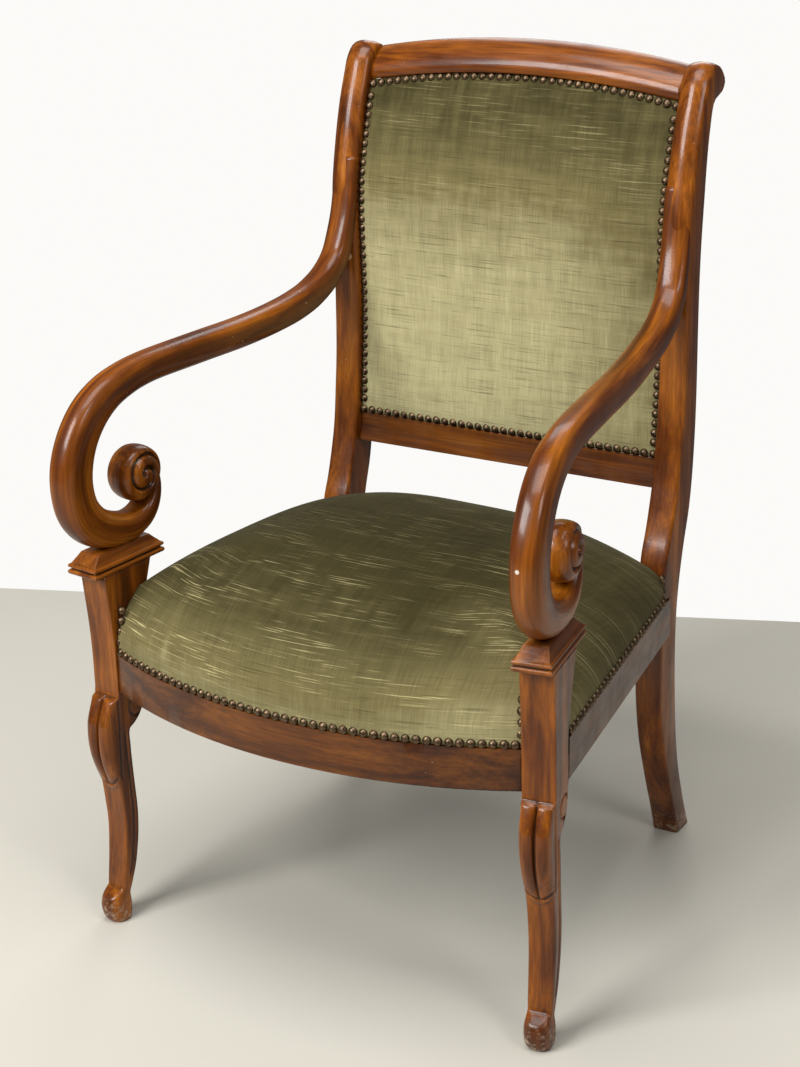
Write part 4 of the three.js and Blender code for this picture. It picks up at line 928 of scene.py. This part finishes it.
def back_rows():
    margin = 4.6
    x = np.linspace(-UPRIGHT_INNER + margin, UPRIGHT_INNER - margin, 60)
    z = np.linspace(BACK_RAIL_TOP + margin, CREST_LEVEL - margin, 60)
    rows = []
    for heights in (np.full_like(x, BACK_RAIL_TOP + margin), CREST_LEVEL - margin + crest_arch(x)):
        lean = (panel_line(heights + 2) - panel_line(heights - 2)) / 4
        rows.append((np.stack([x, panel_line(heights) - 2.6, heights], axis=1),
                     np.stack([0 * x, -np.ones_like(x), lean], axis=1)))
    for side in (-1, 1):
        z_in = z[(z > BACK_RAIL_TOP + 14) & (z < CREST_LEVEL - 12)]
        lean = (panel_line(z_in + 2) - panel_line(z_in - 2)) / 4
        across = np.full_like(z_in, side * (UPRIGHT_INNER - margin))
        rows.append((np.stack([across, panel_line(z_in) - 2.6, z_in], axis=1),
                     np.stack([0 * z_in, -np.ones_like(z_in), lean], axis=1)))
    return rows


def seat_rows():
    rows = []
    height = COVER_EDGE + 4.2
    radius = BOW_RADIUS - COVER_INSET + 0.6
    sweep = math.asin((HALF_CHORD - 7) / radius)
    turn = np.linspace(-sweep, sweep, 80)
    level = np.full_like(turn, height)
    rows.append((np.stack([radius * np.sin(turn), BOW_CENTRE - radius * np.cos(turn), level], axis=1),
                 np.stack([np.sin(turn), -np.cos(turn), np.full_like(turn, 0.25)], axis=1)))
    outer = POST_HALF - COVER_INSET
    for side in (-1, 1):
        v = np.linspace(21, 360, 50)
        along_side = np.stack([np.full_like(v, outer + 0.6), v, np.full_like(v, height)], axis=1)
        rows.append((side_place(along_side, side), np.tile([side * COS, SIN, 0.2], (len(v), 1))))
        up = np.linspace(height + 11, RAIL_TOP + 34, 8)
        lean = 2.0 - RAIL_MEETS + 0.16 * (up - height)
        by_post = np.stack([np.full_like(up, -POST_HALF - 3.6), lean, up], axis=1)
        rows.append((side_place(by_post, side), np.tile([-0.35 * side, -1.0, 0.25], (len(up), 1))))
        climb = np.linspace(height + 11, RAIL_TOP + 16, 4)
        by_upright = np.stack([outer - 0.06 * (climb - height), np.full_like(climb, 361.0), climb], axis=1)
        rows.append((side_place(by_upright, side), np.tile([side * COS, SIN, 0.3], (len(climb), 1))))
    return rows


def make_dust_cloth():
    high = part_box("dust_cover")[1]
    inset = 9.0
    corner, rear, radius = seat_edge(inset)
    sweep = math.asin(corner[0] / radius)
    a = np.linspace(-1, 1, 61)
    b = np.linspace(0, 1, 51)
    front = np.stack([radius * np.sin(a * sweep), BOW_CENTRE - radius * np.cos(a * sweep)], axis=1)
    back = np.stack([a * rear[0], np.full_like(a, SEAT_BACK - 0.5)], axis=1)
    plan = front[None] * (1 - b)[:, None, None] + back[None] * b[:, None, None]
    ripple = np.sin(plan[:, :, 0] * 0.05) * np.sin(plan[:, :, 1] * 0.043 + 1)
    hang = (6.5 + 0.6 * ripple) * (1 - a[None] ** 4) * (1 - (2 * b[:, None] - 1) ** 4)
    z = high.z / MM - 0.8 - hang
    top = np.stack([plan[:, :, 0], plan[:, :, 1], z], axis=2).reshape(-1, 3)
    under = top - np.array([0, 0, 0.7])
    faces = skin_faces(51, 61, False, False)
    faces += [tuple(i + len(top) for i in face) for face in faces]
    loop = rim_loop(51, 61)
    for k in range(len(loop)):
        m = (k + 1) % len(loop)
        faces.append((loop[k], loop[m], loop[m] + len(top), loop[k] + len(top)))
    cloth = make_piece("dust_cloth", np.vstack([top, under]), faces, black_cotton,
                       ["dust_cover"])
    cut_around(cloth, ("front_leg_left", "front_leg_right", "back_upright_left", "back_upright_right"), 0.5)


# Straight-cut pieces keep their own solids, with eased edges.
def finish_node(name, material, ease_mm):
    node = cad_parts[name]
    node.data.materials.clear()
    node.data.materials.append(material)
    if ease_mm:
        weld = node.modifiers.new("weld", "WELD")
        weld.merge_threshold = 1e-5
        bevel = node.modifiers.new("eased_edges", "BEVEL")
        bevel.width = ease_mm * MM
        bevel.segments = 2
        bevel.limit_method = "ANGLE"
        bevel.angle_limit = math.radians(28)
        bevel.harden_normals = False


NODE_FINISHES = (
    ("side_seat_rail", lengthwise_walnut, 1.4),
    ("front_seat_rail", crosswise_walnut, 1.4), ("rear_seat_rail", crosswise_walnut, 1.4),
    ("back_lower_rail", crosswise_walnut, 1.6), ("arm_post_dowel", beech, 0),
    ("arm_upright_dowel", beech, 0), ("corner_block", beech, 0), ("seat_strap", jute, 0),
    ("seat_spring", wire, 0), ("seat_canvas", jute, 0), ("seat_stuffing", hair, 0),
    ("back_stuffing", hair, 0), ("back_canvas", jute, 0), ("back_strap", jute, 0), ("back_batten", beech, 0))


def finish_nodes():
    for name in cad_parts:
        for start, material, ease_mm in NODE_FINISHES:
            if name.startswith(start):
                finish_node(name, material, ease_mm)


# Camera, floor and light
CAMERA_MM = (1106.88, -1728.09, 1320.48)
CAMERA_YAW = math.radians(30.3005)
CAMERA_PITCH = math.radians(21.6171)
CAMERA_ROLL = math.radians(-1.5236)
FOCAL_PIXELS = 2154.1
LONG_PIXELS = 1067
SENSOR = 36.0


def make_camera():
    level = math.cos(CAMERA_PITCH)
    back = Vector((math.sin(CAMERA_YAW) * level, -math.cos(CAMERA_YAW) * level, math.sin(CAMERA_PITCH)))
    right = (-back).cross(Vector((0, 0, 1))).normalized()
    up = right.cross(-back)
    turned_right = math.cos(CAMERA_ROLL) * right + math.sin(CAMERA_ROLL) * up
    turned_up = -math.sin(CAMERA_ROLL) * right + math.cos(CAMERA_ROLL) * up
    place = Matrix((turned_right, turned_up, back)).transposed().to_4x4()
    place.translation = Vector((CAMERA_MM[0], CAMERA_MM[1] + POST_Y, CAMERA_MM[2])) * MM
    data = bpy.data.cameras.new("camera")
    data.sensor_width = SENSOR
    data.lens = FOCAL_PIXELS / LONG_PIXELS * SENSOR
    data.clip_end = 60
    camera = bpy.data.objects.new("camera", data)
    camera.matrix_world = place
    bpy.context.scene.collection.objects.link(camera)
    bpy.context.scene.camera = camera


FLOOR_LINE = ((0, 588), (799, 622))
PICTURE_MIDDLE = (400, 533.5)
FLOOR_REACH = 9.0


def floor_place(pixel):
    """Where a pixel of the picture meets the floor."""
    camera = bpy.context.scene.camera.matrix_world
    ray = Vector((pixel[0] - PICTURE_MIDDLE[0], PICTURE_MIDDLE[1] - pixel[1], -FOCAL_PIXELS))
    ray = camera.to_3x3() @ ray
    return camera.translation - ray * (camera.translation.z / ray.z)


def make_floor():
    mesh = bpy.data.meshes.new("floor")
    near_left, near_right = (floor_place(pixel) for pixel in FLOOR_LINE)
    along = (near_right - near_left).normalized()
    toward = Vector((along.y, -along.x, 0))
    corners = [near_left - along * FLOOR_REACH, near_right + along * FLOOR_REACH]
    corners += [corners[1] + toward * FLOOR_REACH, corners[0] + toward * FLOOR_REACH]
    mesh.from_pydata([tuple(corner) for corner in corners], [], [(3, 2, 1, 0)])
    material, tree, shader = new_material("pale_floor")
    shader.inputs["Base Color"].default_value = (0.57, 0.545, 0.475, 1)
    shader.inputs["Roughness"].default_value = 0.9
    shader.inputs["Specular IOR Level"].default_value = 0.1
    mesh.materials.append(material)
    floor = bpy.data.objects.new("floor", mesh)
    bpy.context.scene.collection.objects.link(floor)


def make_lamp(name, place, aim, size, power):
    data = bpy.data.lights.new(name, "AREA")
    data.shape = "RECTANGLE"
    data.size, data.size_y = size
    data.energy = power
    lamp = bpy.data.objects.new(name, data)
    lamp.location = place
    lamp.rotation_mode = "QUATERNION"
    lamp.rotation_quaternion = (Vector(aim) - Vector(place)).to_track_quat("-Z", "Y")
    bpy.context.scene.collection.objects.link(lamp)


ROOM_LIGHT = 0.14


def make_light():
    make_lamp("window", (-0.9, -2.3, 2.3), (0, 0, 0.5), (1.3, 1.3), 88)
    make_lamp("ceiling", (0.1, -0.5, 2.9), (0, 0, 0.4), (1.5, 1.5), 46)
    make_lamp("far_window", (2.2, -1.0, 2.3), (0.1, 0, 0.7), (0.8, 1.0), 18)
    make_lamp("rear_fill", (-0.8, 2.4, 2.2), (0, 0, 0.5), (1.4, 1.4), 22)
    world = bpy.data.worlds.new("room")
    world.use_nodes = True
    tree = world.node_tree
    room = tree.nodes["Background"]
    room.inputs["Color"].default_value = (1.0, 0.99, 0.97, 1)
    path = tree.nodes.new("ShaderNodeLightPath")
    strength = span(tree, path.outputs["Is Camera Ray"], 0.0, 1.0, ROOM_LIGHT, 0.97)
    tree.links.new(strength, room.inputs["Strength"])
    bpy.context.scene.world = world


make_camera()
make_floor()
make_light()
finish_nodes()
make_arms()
make_uprights()
make_front_legs()
make_caps()
make_crest()
make_seat()
make_back()
make_dust_cloth()
nails = nail_tree()
pattern_head = nail_head()
make_nails("back_nails", back_rows(), nails, pattern_head)
make_nails("seat_nails", seat_rows(), nails, pattern_head)
bpy.data.objects.remove(pattern_head)

bpy.context.scene.view_settings.view_transform = "Standard"
